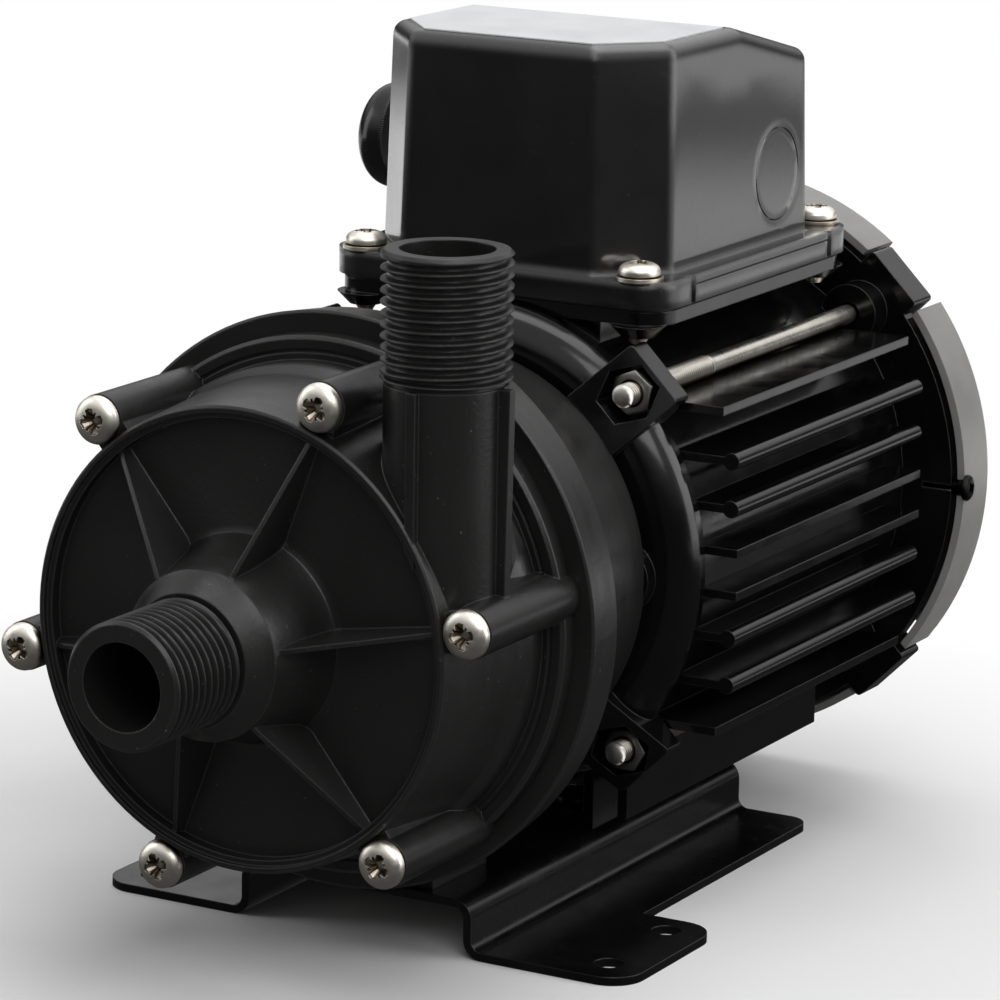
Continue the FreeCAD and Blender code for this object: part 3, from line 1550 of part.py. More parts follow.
def nodes():
    return {
        "front_casing": front_casing(),
        "casing_screws": casing_screws(),
        "mouth_ring": mouth_ring(),
        "spindle": spindle(),
        "front_thrust_washer": thrust_washer(spider_back),
        "rear_thrust_washer": thrust_washer(spindle_boss_front - thrust_thickness),
        "impeller": impeller(),
        "magnet_capsule": magnet_capsule(),
        "magnet_capsule_lid": capsule_lid(),
        "driven_magnets": driven_magnets(),
        "bearing_bush": bearing_bush(),
        "rear_casing": rear_casing(),
        "casing_o_ring": o_ring(),
        "bracket": bracket(),
        "bracket_screws": bracket_screws(),
        "bracket_foot_screws": bracket_foot_screws(),
        "drive_yoke": drive_yoke(),
        "drive_magnets": drive_magnets(),
        "yoke_set_screw": set_screw(),
        "front_end_bell": front_end_bell(),
        "motor_frame": motor_frame(),
        "stator_core": stator_core(),
        "stator_windings": stator_windings(),
        "rotor_core": rotor_core(),
        "motor_shaft": motor_shaft(),
        "front_bearing_outer_ring": bearing_outer_ring(front_bearing_front),
        "front_bearing_inner_ring": bearing_inner_ring(front_bearing_front),
        "front_bearing_balls": bearing_balls(front_bearing_front),
        "rear_bearing_outer_ring": bearing_outer_ring(rear_bearing_front),
        "rear_bearing_inner_ring": bearing_inner_ring(rear_bearing_front),
        "rear_bearing_balls": bearing_balls(rear_bearing_front),
        "wave_washer": wave_washer(),
        "rear_end_bell": rear_end_bell(),
        "tie_bolts": tie_bolts(),
        "tie_bolt_nuts": tie_nuts(),
        "cooling_fan": fan(),
        "fan_cover": fan_cover(),
        "fan_cover_screws": cover_screws(),
        "terminal_box_cover": terminal_box_cover(),
        "terminal_box_gasket": terminal_gasket(),
        "terminal_box_screws": box_screws(),
        "terminal_box_washers": box_washers(),
        "label_plate": label_plate(),
        "terminal_block": terminal_block(),
        "terminal_studs": terminal_studs(),
        "capacitor": capacitor(),
        "capacitor_clip": capacitor_clip(),
        "gland_body": gland_body(),
        "gland_seal": gland_seal(),
        "gland_nut": gland_nut(),
        "gland_locknut": gland_locknut(),
        "base_plate": base_plate(),
        "base_screws": base_screws(),
        "base_nuts": base_nuts(),
    }


def main():
    os.makedirs("parts", exist_ok=True)
    for name, shape in nodes().items():
        placed = shape.copy()
        placed.translate(V(0, -hole_pattern_station, shaft_height))
        placed.exportStep("parts/" + name + ".step")


main()
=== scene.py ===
import json
import math

import bmesh
import bpy
from mathutils import Matrix, Vector


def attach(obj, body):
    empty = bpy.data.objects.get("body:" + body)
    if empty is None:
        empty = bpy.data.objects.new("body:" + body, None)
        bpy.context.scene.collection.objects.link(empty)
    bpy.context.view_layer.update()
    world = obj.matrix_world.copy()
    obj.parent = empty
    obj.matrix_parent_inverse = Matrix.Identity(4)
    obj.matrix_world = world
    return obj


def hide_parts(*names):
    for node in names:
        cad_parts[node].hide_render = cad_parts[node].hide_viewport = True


MM = 0.001
TAU = 2 * math.pi
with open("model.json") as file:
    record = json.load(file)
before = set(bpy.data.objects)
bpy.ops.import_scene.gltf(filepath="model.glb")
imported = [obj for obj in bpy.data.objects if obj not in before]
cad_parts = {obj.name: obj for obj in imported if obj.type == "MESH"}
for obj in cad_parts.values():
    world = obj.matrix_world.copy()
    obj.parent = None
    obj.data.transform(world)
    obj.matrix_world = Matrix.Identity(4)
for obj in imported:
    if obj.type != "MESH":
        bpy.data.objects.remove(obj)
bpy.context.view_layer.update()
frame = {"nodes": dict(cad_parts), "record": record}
nodes = frame["nodes"]

# Sizes in millimetres. Places are measured from the shaft line and the plane of the casing screws.
SHAFT_Z = 59.9
SHIFT_Y = -55.3

# Port threads: crest radius, pitch and depth, then where the ridges start and end on each
# port, and how far a vertex may lie off the crest cylinder
PIPE_CREST_R, PIPE_PITCH, PIPE_DEPTH = 10.478, 1.814, 1.16
TOWER_X, TOWER_Y = 31.6, 12.0
TOWER_THREAD = (44.9, 64.7)
SUCTION_THREAD = (-31.3, -14.5)
ON_CREST = 0.03

# Casing screws and the dish ribs, which stand at the same angles. The slope is that of the
# ribs' front edge. The shares say how much of its half width a side loses or gains.
CASING_SPOKES, SCREW_PHASE, SCREW_CIRCLE_R, SCREW_SEAT = 6, 9.5, 42.5, 2.2
RIB_START_R, RIB_END_R, RIB_HALF = 14.4, 37.0, 0.8
RIB_FRONT, RIB_SLOPE, RIB_FOOT = -8.2, 0.4732, 3.8
RIB_THINNING, RIB_SPREAD = 0.52, 0.22
RIB_START_SLACK, RIB_SIDE_SLACK, RIB_FRONT_SLACK = 1.2, 0.03, 0.3

# Screws: head radius and height, shank radius, length, pitch, reach of the recess
BOX_SEAT = 49.2
CASING_SCREW = (4.0, 2.6, 2.0, 36.4, 0.7, 2.5)
BOX_SCREW = (3.6, 2.5, 2.0, BOX_SEAT - 37.6, 0.7, 2.3)
FOOT_SCREW = (4.0, 2.6, 2.0, 8.5, 0.7, 2.2)
BASE_SCREW = (4.0, 2.6, 2.0, 8.3, 0.7, 2.2)
FAN_COVER_SCREW = (2.4, 1.2, 1.5, 7.0, 0.5, 1.4)

# Where the screws stand
BOX_MIDDLE, BOX_SCREW_X, BOX_SCREW_Y = 118.6, 27.0, 34.0
FOOT_SCREW_X, FOOT_SCREW_Y = 8.0, 50.0
BASE_UNDER, FOOT_TOP = -51.2, -46.9
BASE_SCREW_X, BASE_SCREW_YS = 14.0, (90.1, 128.4)
FAN_SCREW_X, FAN_SCREW_Y = 52.8, 165.2

# Tie bolts: tip, thread, rod and head along the shaft
TIE_OFFSET = 31.1
TIE_TIP, TIE_THREAD_START, TIE_THREAD_END, TIE_THREAD_BACK = 71.2, 71.8, 101.4, 102.4
TIE_THREAD_R, TIE_PITCH, TIE_THREAD_DEPTH = 2.0, 0.7, 0.34
TIE_ROD_START, TIE_ROD_MIDDLE, TIE_ROD_END, TIE_ROD_R = 101.9, 136.0, 171.3, 1.75
TIE_HEAD_Y, TIE_HEAD_HEIGHT = 171.0, 2.8
NUT_ACROSS, NUT_HEIGHT, NUT_BORE_R, TIE_NUT_Y = 7.0, 3.0, 2.02, 74.6

# Gland nut: seat and length of the skirt, bores, grip and dome
GLAND = (-28.6, 132.4, 60.2)
GLAND_START, GLAND_SKIRT, GLAND_THREAD_LENGTH = 7.9, 13.0, 10.2
GLAND_THREAD_R, GLAND_CORD_R, GLAND_RIM_R, GLAND_R = 7.28, 4.2, 9.2, 9.7
GLAND_RIBS, GLAND_RIB_DEPTH, GLAND_DOME_STEPS = 140, 0.26, 16
GLAND_MOUTH_R, GLAND_DOME_HEIGHT = 4.6, 4.55

# Grooves of the box flange: across the side rails, and a line along them
GROOVE_X, GROOVE_LINE_X, GROOVE_OUTER_X = 32.7, 33.05, 34.2
GROOVE_Y, GROOVE_HALF, GROOVE_Z = 26.3, 0.8, (42.0, 49.5)
GROOVE_LINE_Y, GROOVE_LINE_Z = 25.8, (47.0, 47.35)

# Studio, in metres and watts
WHITE = (1.0, 1.0, 1.0, 1.0)
WORLD_LIGHT = 0.22
FLOOR_HALF = 2.4
# Distances from the object at which the floor turns from shaded to plain white for the camera
FLOOR_FADE = (0.10, 0.22)
# In reflections: dark floor near the object, bright behind it, a dark band further off
FLOOR_FRONT, FLOOR_BRIGHTENS = 0.05, (0.34, 0.44)
BAND_MIDDLE, BAND_EDGES, BAND_TONE = 1.08, (0.05, 0.22), 0.10
# In reflections: bright backdrop behind the object and sky above it, by direction
BACKDROP_TURN, BACKDROP_TONE = (-0.2, 0.5), (0.0, 0.95)
BACKDROP_RISE, BACKDROP_LEVELS = (0.12, 0.35), (0.06, 1.0)
SKY_RISE, SKY_LEVELS = (0.15, 0.55), (0.05, 0.75)
LAMP_TARGET = (0.0, 0.0, 0.07)
# Place, width, height and power
LAMPS = {
    "key": ((0.50, -0.60, 0.80), 0.70, 0.70, 4.2),
    "side": ((0.90, 0.30, 0.40), 0.65, 0.80, 4.2),
    "left": ((-0.80, -0.30, 0.40), 0.40, 0.80, 1.6),
    "top": ((0.0, 0.15, 0.90), 0.70, 0.70, 3.8),
}
# Angles in degrees, target and distance in metres, lens and sensor in millimetres
CAMERA_AZIMUTH, CAMERA_ELEVATION, CAMERA_ROLL = 29.467, 13.226, 0.883
CAMERA_TARGET, CAMERA_DISTANCE = (0.044302, -0.048099, 0.087607), 0.756
CAMERA_LENS, CAMERA_SENSOR = 175.6, 36.0


def point(x, y, z):
    """Millimetres from the shaft line to metres in the frame of the part."""
    return Vector((x * MM, (y + SHIFT_Y) * MM, (z + SHAFT_Z) * MM))


def placed(origin, direction, turn=0.0):
    """Matrix that lays local +Z along a direction at a point given in millimetres."""
    aim = Vector(direction).to_track_quat("Z", "Y").to_matrix().to_4x4()
    return Matrix.Translation(point(*origin)) @ aim @ Matrix.Rotation(turn, 4, "Z")


def around(count, phase):
    """Angles in radians of equal steps round the shaft."""
    return [math.radians(phase + 360 // count * i) for i in range(count)]


# Mesh building

def mesh_from(bm, name):
    """Mesh of an edit mesh, which is freed."""
    mesh = bpy.data.meshes.new(name)
    bm.to_mesh(mesh)
    bm.free()
    return mesh


def to_mesh(bm, name, sharp=35.0):
    """Mesh with smooth faces whose edges over the angle stay sharp."""
    limit = math.radians(sharp)
    for face in bm.faces:
        face.smooth = True
    for edge in bm.edges:
        if len(edge.link_faces) == 2 and edge.calc_face_angle(0.0) > limit:
            edge.smooth = False
    return mesh_from(bm, name)


def value_at(entry, angle):
    """Plain number, or what the function gives at the angle."""
    return entry(angle) if callable(entry) else entry


def lathe(rows, columns, closed=False):
    """Surface around +Z in metres from rows of (height, radius) in millimetres.

    Height and radius may each be a function of the angle. A radius of 0.0 closes the surface.
    """
    bm = bmesh.new()
    rings = []
    for height, radius in rows:
        if not callable(radius) and radius == 0.0:
            rings.append([bm.verts.new((0, 0, height * MM))] * columns)
            continue
        ring = []
        for i in range(columns):
            angle = TAU * i / columns
            r = value_at(radius, angle) * MM
            z = value_at(height, angle) * MM
            ring.append(bm.verts.new((r * math.cos(angle), r * math.sin(angle), z)))
        rings.append(ring)
    pairs = list(zip(rings, rings[1:]))
    if closed:
        pairs.append((rings[-1], rings[0]))
    for low, high in pairs:
        for i in range(columns):
            j = (i + 1) % columns
            corners = []
            for vert in (low[i], low[j], high[j], high[i]):
                if vert not in corners:
                    corners.append(vert)
            if len(corners) > 2:
                bm.faces.new(corners)
    bmesh.ops.recalc_face_normals(bm, faces=bm.faces)
    return bm


def scatter(name, source, matrices):
    """One mesh with a copy of the source at each matrix."""
    bm = bmesh.new()
    for matrix in matrices:
        first = len(bm.verts)
        bm.from_mesh(source)
        bm.verts.ensure_lookup_table()
        bmesh.ops.transform(bm, matrix=matrix, verts=bm.verts[first:])
    return mesh_from(bm, name)


def merged(meshes):
    """One mesh of several."""
    bm = bmesh.new()
    for mesh in meshes:
        bm.from_mesh(mesh)
    return mesh_from(bm, meshes[0].name)


def carve(mesh, cutters):
    """Mesh less its cutters."""
    scene = bpy.context.scene
    body = bpy.data.objects.new("carve_body", mesh)
    scene.collection.objects.link(body)
    tools = []
    for cutter in cutters:
        tool = bpy.data.objects.new("carve_tool", cutter)
        scene.collection.objects.link(tool)
        tools.append(tool)
        cut = body.modifiers.new("cut", "BOOLEAN")
        cut.operation = "DIFFERENCE"
        cut.solver = "EXACT"
        cut.object = tool
    bpy.context.view_layer.update()
    graph = bpy.context.evaluated_depsgraph_get()
    result = bpy.data.meshes.new_from_object(body.evaluated_get(graph))
    for obj in tools + [body]:
        bpy.data.objects.remove(obj)
    return result


def thread_wave(height, angle, start, pitch, crest=0.10, root=0.74):
    """0 on the crest and 1 in the groove of a right-hand thread."""
    phase = ((height - start) / pitch - angle / TAU) % 1.0
    away = abs(phase - 0.5) * 2
    t = min(max((away - crest) / (root - crest), 0.0), 1.0)
    return t * t * (3 - 2 * t)


def thread_rows(start, end, radius, pitch, depth, steps=12):
    """Rows of a screw thread that begins and ends on its crest circle."""
    count = max(4, round((end - start) / pitch * steps))
    fade = 0.3 * pitch
    rows = []
    for k in range(count + 1):
        height = start + (end - start) * k / count
        share = min(1.0, (height - start) / fade, (end - height) / fade)

        def at(angle, height=height, share=share):
            return radius - depth * share * thread_wave(height, angle, start, pitch)

        rows.append((height, at))
    return rows


def star_tool(reach, top, depth):
    """Tapered tool for a cross recess with a small mark between each pair of wings."""
    # Angle and share of the reach, for one wing and the mark after it
    wing = ((-21, 0.93), (0, 1.0), (21, 0.93), (33, 0.56), (40, 0.78), (50, 0.78), (57, 0.56))
    outline = [(math.radians(quarter * 90 + angle), reach * share)
               for quarter in range(4) for angle, share in wing]
    bottom, above = top - depth, top + 0.8
    bm = bmesh.new()
    rings = []
    for z, share in ((bottom, 0.42), (top - 0.35 * depth, 0.86), (above, 1.02)):
        rings.append([bm.verts.new((r * share * math.cos(a) * MM, r * share * math.sin(a) * MM,
                                    z * MM)) for a, r in outline])
    corners = range(len(outline))
    for low, high in zip(rings, rings[1:]):
        for i in corners:
            j = (i + 1) % len(outline)
            bm.faces.new((low[i], low[j], high[j], high[i]))
    for ring, z in ((rings[0], bottom), (rings[-1], above)):
        centre = bm.verts.new((0, 0, z * MM))
        for i in corners:
            bm.faces.new((ring[i], ring[(i + 1) % len(outline)], centre))
    bmesh.ops.recalc_face_normals(bm, faces=bm.faces)
    return mesh_from(bm, "star_tool")


def box_tool(xs, ys, zs):
    """Rectangular tool between pairs of planes given in millimetres."""
    bm = bmesh.new()
    bmesh.ops.create_cube(bm, size=1.0)
    low, high = (point(*corner) for corner in zip(xs, ys, zs))
    for vert in bm.verts:
        vert.co = (low + high) / 2 + Vector(c * s for c, s in zip(vert.co, high - low))
    return mesh_from(bm, "box_tool")


def head_profile(radius, height, steps=12):
    """Pan head: short straight side, well rounded shoulder, flatter crown."""
    side = height * 0.30
    rows = [(0.0, radius * 0.94), (0.12 * height, radius)]
    for k in range(steps + 1):
        a = 0.5 * math.pi * k / steps
        rows.append((side + (height - side) * math.sin(a) ** 0.9,
                     radius * max(math.cos(a), 0.0) ** 0.78))
    rows[-1] = (height, 0.0)
    return rows


def pan_screw(head_r, head_height, shank_r, length, pitch, recess):
    """Screw with its seat at 0, head towards +Z, threaded shank towards -Z."""
    tip_r, tip_length, neck_length = shank_r * 0.62, 1.2, 1.0
    thread_depth, recess_depth = 0.55 * pitch, 0.66 * head_height
    thread = thread_rows(tip_length - length, -neck_length, shank_r, pitch, thread_depth, 6)
    shank = [(-length, 0.0), (-length, tip_r)] + thread + [(0.0, shank_r)]
    solid = to_mesh(lathe(shank + head_profile(head_r, head_height), 48), "pan_screw")
    return carve(solid, [star_tool(recess, head_height, recess_depth)])


def hex_radius(across):
    """Radius of a hexagon as a function of the angle."""
    sixth = math.pi / 3

    def at(angle):
        return across / 2 / math.cos((angle + sixth / 2) % sixth - sixth / 2)

    return at


def hex_rows(across, height, bore_r, bevel=0.35):
    """Closed section of a nut with both faces chamfered and a countersunk bore."""
    outer = hex_radius(across)
    face_r = across / 2 * 0.95

    def drop(angle):
        return (outer(angle) - face_r) * 0.5

    return [(bevel, bore_r), (height - bevel, bore_r), (height, bore_r + bevel), (height, face_r),
            (lambda angle: height - drop(angle), outer), (drop, outer),
            (0.0, face_r), (0.0, bore_r + bevel)]


def piece(name, mesh, slot, *replaced, body="pump", material=None):
    """Object of the visual model, on its body and in place of the nodes it replaces."""
    obj = bpy.data.objects.new(name, mesh)
    bpy.context.scene.collection.objects.link(obj)
    mesh.materials.clear()
    mesh.materials.append(material or MATERIALS[slot])
    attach(obj, body)
    if replaced:
        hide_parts(*replaced)


# Materials

class Nodes:
    """Wires a node tree with few words."""

    SOCKETS = {"color": "Base Color", "rough": "Roughness", "normal": "Normal",
               "metal": "Metallic", "specular": "Specular IOR Level", "coat": "Coat Weight",
               "coat_rough": "Coat Roughness", "coat_ior": "Coat IOR", "coat_normal": "Coat Normal"}

    def __init__(self, name, edge_r=0.0):
        self.material = bpy.data.materials.new(name)
        self.material.use_nodes = True
        self.tree = self.material.node_tree
        self.shader = self.tree.nodes["Principled BSDF"]
        self.coords = self.add("ShaderNodeTexCoord").outputs["Object"]
        self.rounded = None
        if edge_r:
            bevel = self.add("ShaderNodeBevel", {"Radius": edge_r * MM}, samples=4)
            self.rounded = bevel.outputs["Normal"]

    def add(self, kind, inputs=None, **settings):
        node = self.tree.nodes.new(kind)
        for key, value in settings.items():
            setattr(node, key, value)
        for key, value in (inputs or {}).items():
            self.put(node.inputs[key], value)
        return node

    def put(self, socket, value):
        if isinstance(value, bpy.types.NodeSocket):
            self.tree.links.new(value, socket)
        else:
            socket.default_value = value

    def noise(self, scale, detail=3.0, roughness=0.5, stretch=None):
        source = self.coords
        if stretch:
            mapping = self.add("ShaderNodeMapping", {"Vector": source, "Scale": stretch})
            source = mapping.outputs["Vector"]
        grain = {"Vector": source, "Scale": scale, "Detail": detail, "Roughness": roughness}
        return self.add("ShaderNodeTexNoise", grain).outputs["Fac"]

    def span(self, value, low, high, to_low=0.0, to_high=1.0):
        """Maps low and high to the other pair, clamped."""
        ends = {"Value": value, "From Min": low, "From Max": high, "To Min": to_low,
                "To Max": to_high}
        return self.add("ShaderNodeMapRange", ends).outputs["Result"]

    def maths(self, operation, first, second=0.0):
        return self.add("ShaderNodeMath", {0: first, 1: second}, operation=operation).outputs[0]

    def times(self, first, second):
        return self.maths("MULTIPLY", first, second)

    def plus(self, first, second):
        return self.maths("ADD", first, second)

    def mix(self, factor, first, second):
        node = self.add("ShaderNodeMix", data_type="RGBA")
        for key, value in (("Factor", factor), ("A", first), ("B", second)):
            self.put(node.inputs[key], value)
        return node.outputs["Result"]

    def edges(self, low, high):
        """Mask from 0 to 1 where the rounded normal leaves the flat one."""
        flat = self.add("ShaderNodeNewGeometry").outputs["Normal"]
        dot = self.add("ShaderNodeVectorMath", {0: self.rounded, 1: flat},
                       operation="DOT_PRODUCT")
        return self.span(dot.outputs["Value"], low, high)

    def bump(self, height, strength, distance):
        inputs = {"Height": height, "Strength": strength, "Distance": distance}
        if self.rounded:
            inputs["Normal"] = self.rounded
        return self.add("ShaderNodeBump", inputs).outputs["Normal"]

    def finish(self, **sockets):
        for key, value in sockets.items():
            self.put(self.shader.inputs[self.SOCKETS[key]], value)
        return self.material


def grey(value, warm=0.0):
    """Grey with a little more red and less blue where it is warm."""
    return (value * (1 + warm), value, value * (1 - warm), 1.0)


def moulded_plastic(name, dark, light, rough, grain=0.5, specular=0.4, warm=0.04, edge_r=0.22):
    """Glass filled plastic: cloudy tone, fine grain, flow marks, sparse dust, painted highlights on
    edges.
    """
    n = Nodes(name, edge_r)
    clouds = n.noise(38.0, detail=4.0, roughness=0.55)
    flow = n.noise(90.0, detail=2.0, stretch=(1.0, 3.0, 0.6))
    fine = n.noise(1100.0, detail=2.0, roughness=0.6)
    specks = n.span(n.noise(1900.0, detail=0.0), 0.815, 0.85, to_high=0.3)
    tone = n.mix(n.span(clouds, 0.3, 0.7), grey(dark, warm), grey(light, warm))
    # Painted highlight: lighter colour along edges, where the rounded normal leaves the flat one
    tone = n.mix(n.times(n.edges(0.98, 0.80), 0.55), tone, grey(light * 4.5))
    tone = n.mix(specks, tone, grey(0.16))
    surface = n.plus(n.times(clouds, 0.35), n.times(flow, 0.65))
    height = n.plus(fine, n.times(clouds, 0.7))
    return n.finish(color=tone, rough=n.span(surface, 0.32, 0.68, rough - 0.06, rough + 0.07),
                    normal=n.bump(height, grain, distance=0.00007), specular=specular)


def gloss_plastic(name, dark, light, rough, edge_r, coat_rough, coat_ior):
    """Moulded cover with a polished skin: mottled tone below, clear reflections above."""
    n = Nodes(name, edge_r)
    clouds = n.noise(60.0, detail=4.0, roughness=0.6)
    fine = n.noise(900.0, detail=2.0)
    specks = n.span(n.noise(1900.0, detail=0.0), 0.84, 0.88, to_high=0.25)
    tone = n.mix(n.span(clouds, 0.3, 0.7), grey(dark, 0.03), grey(light, 0.03))
    # Painted highlight: lighter colour along edges, where the rounded normal leaves the flat one
    tone = n.mix(n.times(n.edges(0.97, 0.75), 0.3), tone, grey(light * 4))
    tone = n.mix(specks, tone, grey(0.12))
    skin = n.bump(n.plus(n.times(fine, 0.4), clouds), strength=0.12, distance=0.00008)
    return n.finish(color=tone, rough=n.span(clouds, 0.3, 0.7, rough - 0.05, rough + 0.08),
                    specular=0.3, normal=n.bump(fine, strength=0.3, distance=0.00006),
                    coat=1.0, coat_rough=coat_rough, coat_ior=coat_ior, coat_normal=skin)


def enamel(name, dark, light, rough, peel, coat=0.0, specular=0.4, edge_r=0.3):
    """Enamel over a casting: orange peel, soft waves of the casting below, painted highlights on
    edges.
    """
    n = Nodes(name, edge_r)
    peel_noise = n.noise(520.0, detail=2.0)
    wave = n.noise(70.0)
    tone = n.mix(n.span(wave, 0.35, 0.65), grey(dark, 0.02), grey(light, 0.02))
    # Painted highlight: a lighter grey along edges
    tone = n.mix(n.times(n.edges(0.98, 0.78), 0.35), tone, grey(0.07))
    height = n.plus(n.times(peel_noise, 0.6), n.times(wave, 1.2))
    return n.finish(color=tone, rough=n.span(n.noise(150.0), 0.3, 0.7, rough - 0.05, rough + 0.07),
                    normal=n.bump(height, peel, distance=0.0001), coat=coat, coat_rough=0.16,
                    specular=specular)


def steel(name, dark, light, rough, stretch=(1.0, 1.0, 1.0), yellow=0.045):
    """Bright steel with fine drawing marks, a faint cloudy stain and painted shade, dark brown, in
    its corners and recesses.
    """
    n = Nodes(name, edge_r=0.12)
    lines = n.noise(1400.0, detail=2.0, roughness=0.6, stretch=stretch)
    cloud = n.noise(260.0)

    def shade(value, tint=(1.0, 1.0, 1.0)):
        red, green, blue = tint
        return (value * red, value * (1 - yellow / 3) * green, value * (1 - yellow) * blue, 1.0)

    tone = n.mix(n.span(cloud, 0.3, 0.7), shade(dark), shade(light))
    # Painted shade: the colour turns dark brown where ambient occlusion finds recesses and corners
    ao_for_painted_shade = n.add("ShaderNodeAmbientOcclusion", {"Distance": 0.0014}, samples=6).outputs["AO"]
    tone = n.mix(n.span(ao_for_painted_shade, 0.6, 0.93), shade(dark * 0.11, tint=(1.35, 1.0, 0.62)), tone)
    marks = n.plus(n.times(lines, 0.6), n.times(cloud, 0.4))
    return n.finish(color=tone, rough=n.span(marks, 0.3, 0.7, rough - 0.06, rough + 0.08),
                    metal=1.0, normal=n.bump(lines, strength=0.25, distance=0.00003))


def soft_solid(name, dark, light, rough, scale=300.0, bump=0.3):
    """Plain non-metal with two tones and a fine surface."""
    n = Nodes(name, edge_r=0.15)
    cloud = n.noise(scale)
    fine = n.noise(scale * 5, detail=2.0)
    return n.finish(color=n.mix(n.span(cloud, 0.3, 0.7), dark, light),
                    rough=n.span(cloud, 0.3, 0.7, rough - 0.05, rough + 0.06),
                    normal=n.bump(fine, bump, distance=0.00006))


def ferrite():
    """Grey sintered magnet with visible grains."""
    n = Nodes("ferrite_grey")
    grains = n.add("ShaderNodeTexVoronoi", {"Vector": n.coords, "Scale": 900.0})
    grains = grains.outputs["Distance"]
    return n.finish(color=n.mix(grains, grey(0.05), grey(0.11)), metal=0.3,
                    rough=n.span(grains, 0.0, 0.6, 0.4, 0.6),
                    normal=n.bump(grains, strength=0.3, distance=0.00005))


def copper():
    """Enamelled wire in bundles."""
    n = Nodes("copper_enamel")
    strands = n.add("ShaderNodeTexWave", {"Vector": n.coords, "Scale": 260.0, "Distortion": 2.5,
                                          "Detail": 2.0}, bands_direction="DIAGONAL")
    strands = strands.outputs["Fac"]
    return n.finish(color=n.mix(strands, (0.25, 0.07, 0.02, 1.0), (0.62, 0.26, 0.10, 1.0)),
                    rough=n.span(strands, 0.0, 1.0, 0.3, 0.45), metal=0.85,
                    normal=n.bump(strands, strength=0.6, distance=0.0002))


MATERIALS = {
    "casing_plastic": moulded_plastic("casing_plastic", 0.009, 0.012, 0.34, edge_r=0.4),
    "impeller_plastic": moulded_plastic("impeller_plastic", 0.016, 0.022, 0.45),
    "fan_plastic": moulded_plastic("fan_plastic", 0.016, 0.022, 0.5),
    "box_plastic": gloss_plastic("box_plastic", 0.003, 0.005, 0.34, edge_r=2.0, coat_rough=0.08,
                                 coat_ior=1.65),
    "gland_plastic": moulded_plastic("gland_plastic", 0.006, 0.008, 0.20, grain=0.2, specular=0.5,
                                     warm=0.0, edge_r=0.15),
    "block_plastic": moulded_plastic("block_plastic", 0.05, 0.08, 0.5),
    "black_casting": enamel("black_casting", 0.0025, 0.004, 0.14, peel=0.22, specular=0.45),
    "cover_sheet": enamel("cover_sheet", 0.19, 0.23, 0.38, peel=0.15, coat=0.2),
    "base_sheet": enamel("base_sheet", 0.0025, 0.004, 0.24, peel=0.2),
    "stainless_steel": steel("stainless_steel", 0.90, 0.99, 0.38, yellow=0.15),
    "bare_steel": steel("bare_steel", 0.40, 0.55, 0.30, stretch=(1.0, 6.0, 1.0)),
    "stud_brass": steel("stud_brass", 0.60, 0.70, 0.30, yellow=0.45),
    "capacitor_can": steel("capacitor_can", 0.60, 0.72, 0.38, stretch=(8.0, 1.0, 1.0)),
    "alumina_ceramic": soft_solid("alumina_ceramic", (0.72, 0.70, 0.64, 1.0),
                                  (0.80, 0.79, 0.74, 1.0), 0.2, scale=200.0, bump=0.1),
    "filled_ptfe": soft_solid("filled_ptfe", (0.62, 0.60, 0.55, 1.0), (0.70, 0.68, 0.62, 1.0), 0.4),
    "bush_carbon": soft_solid("bush_carbon", grey(0.02), grey(0.04), 0.35),
    "seal_rubber": soft_solid("seal_rubber", grey(0.008), grey(0.013), 0.6, scale=400.0, bump=0.4),
    "label_foil": soft_solid("label_foil", (0.66, 0.67, 0.68, 1.0), (0.72, 0.73, 0.74, 1.0), 0.4,
                             scale=120.0, bump=0.1),
    "magnet": ferrite(),
    "copper_wire": copper(),
}
ZINC = steel("zinc_rod", 0.66, 0.80, 0.28, stretch=(1.0, 12.0, 1.0), yellow=0.14)
ZINC_THREAD = steel("zinc_thread", 0.60, 0.72, 0.45, stretch=(3.0, 3.0, 3.0), yellow=0.10)
# Rougher zinc for the tie bolt nuts, with painted shade: darker than the rods because the nuts sit
# in pockets
SHADED_DULL_ZINC = steel("dull_zinc_with_painted_shade", 0.34, 0.44, 0.38)
BLACK_ZINC = steel("black_zinc", 0.010, 0.018, 0.35)

for subpart in frame["record"]["subparts"]:
    if subpart["node"] in nodes:
        materials = nodes[subpart["node"]].data.materials
        materials.clear()
        materials.append(MATERIALS[subpart["material_slot"]])


# Pieces that carry the fine forms

def plain_crest(bm, inverse, start, end):
    """Faces of a port that lie on its plain crest cylinder."""
    faces = []
    for face in bm.faces:
        for vert in face.verts:
            local = inverse @ vert.co
            off = abs(math.hypot(local.x, local.y) - PIPE_CREST_R * MM)
            if off > ON_CREST * MM or not (start - ON_CREST) * MM < local.z < (end + ON_CREST) * MM:
                break
        else:
            faces.append(face)
    return faces


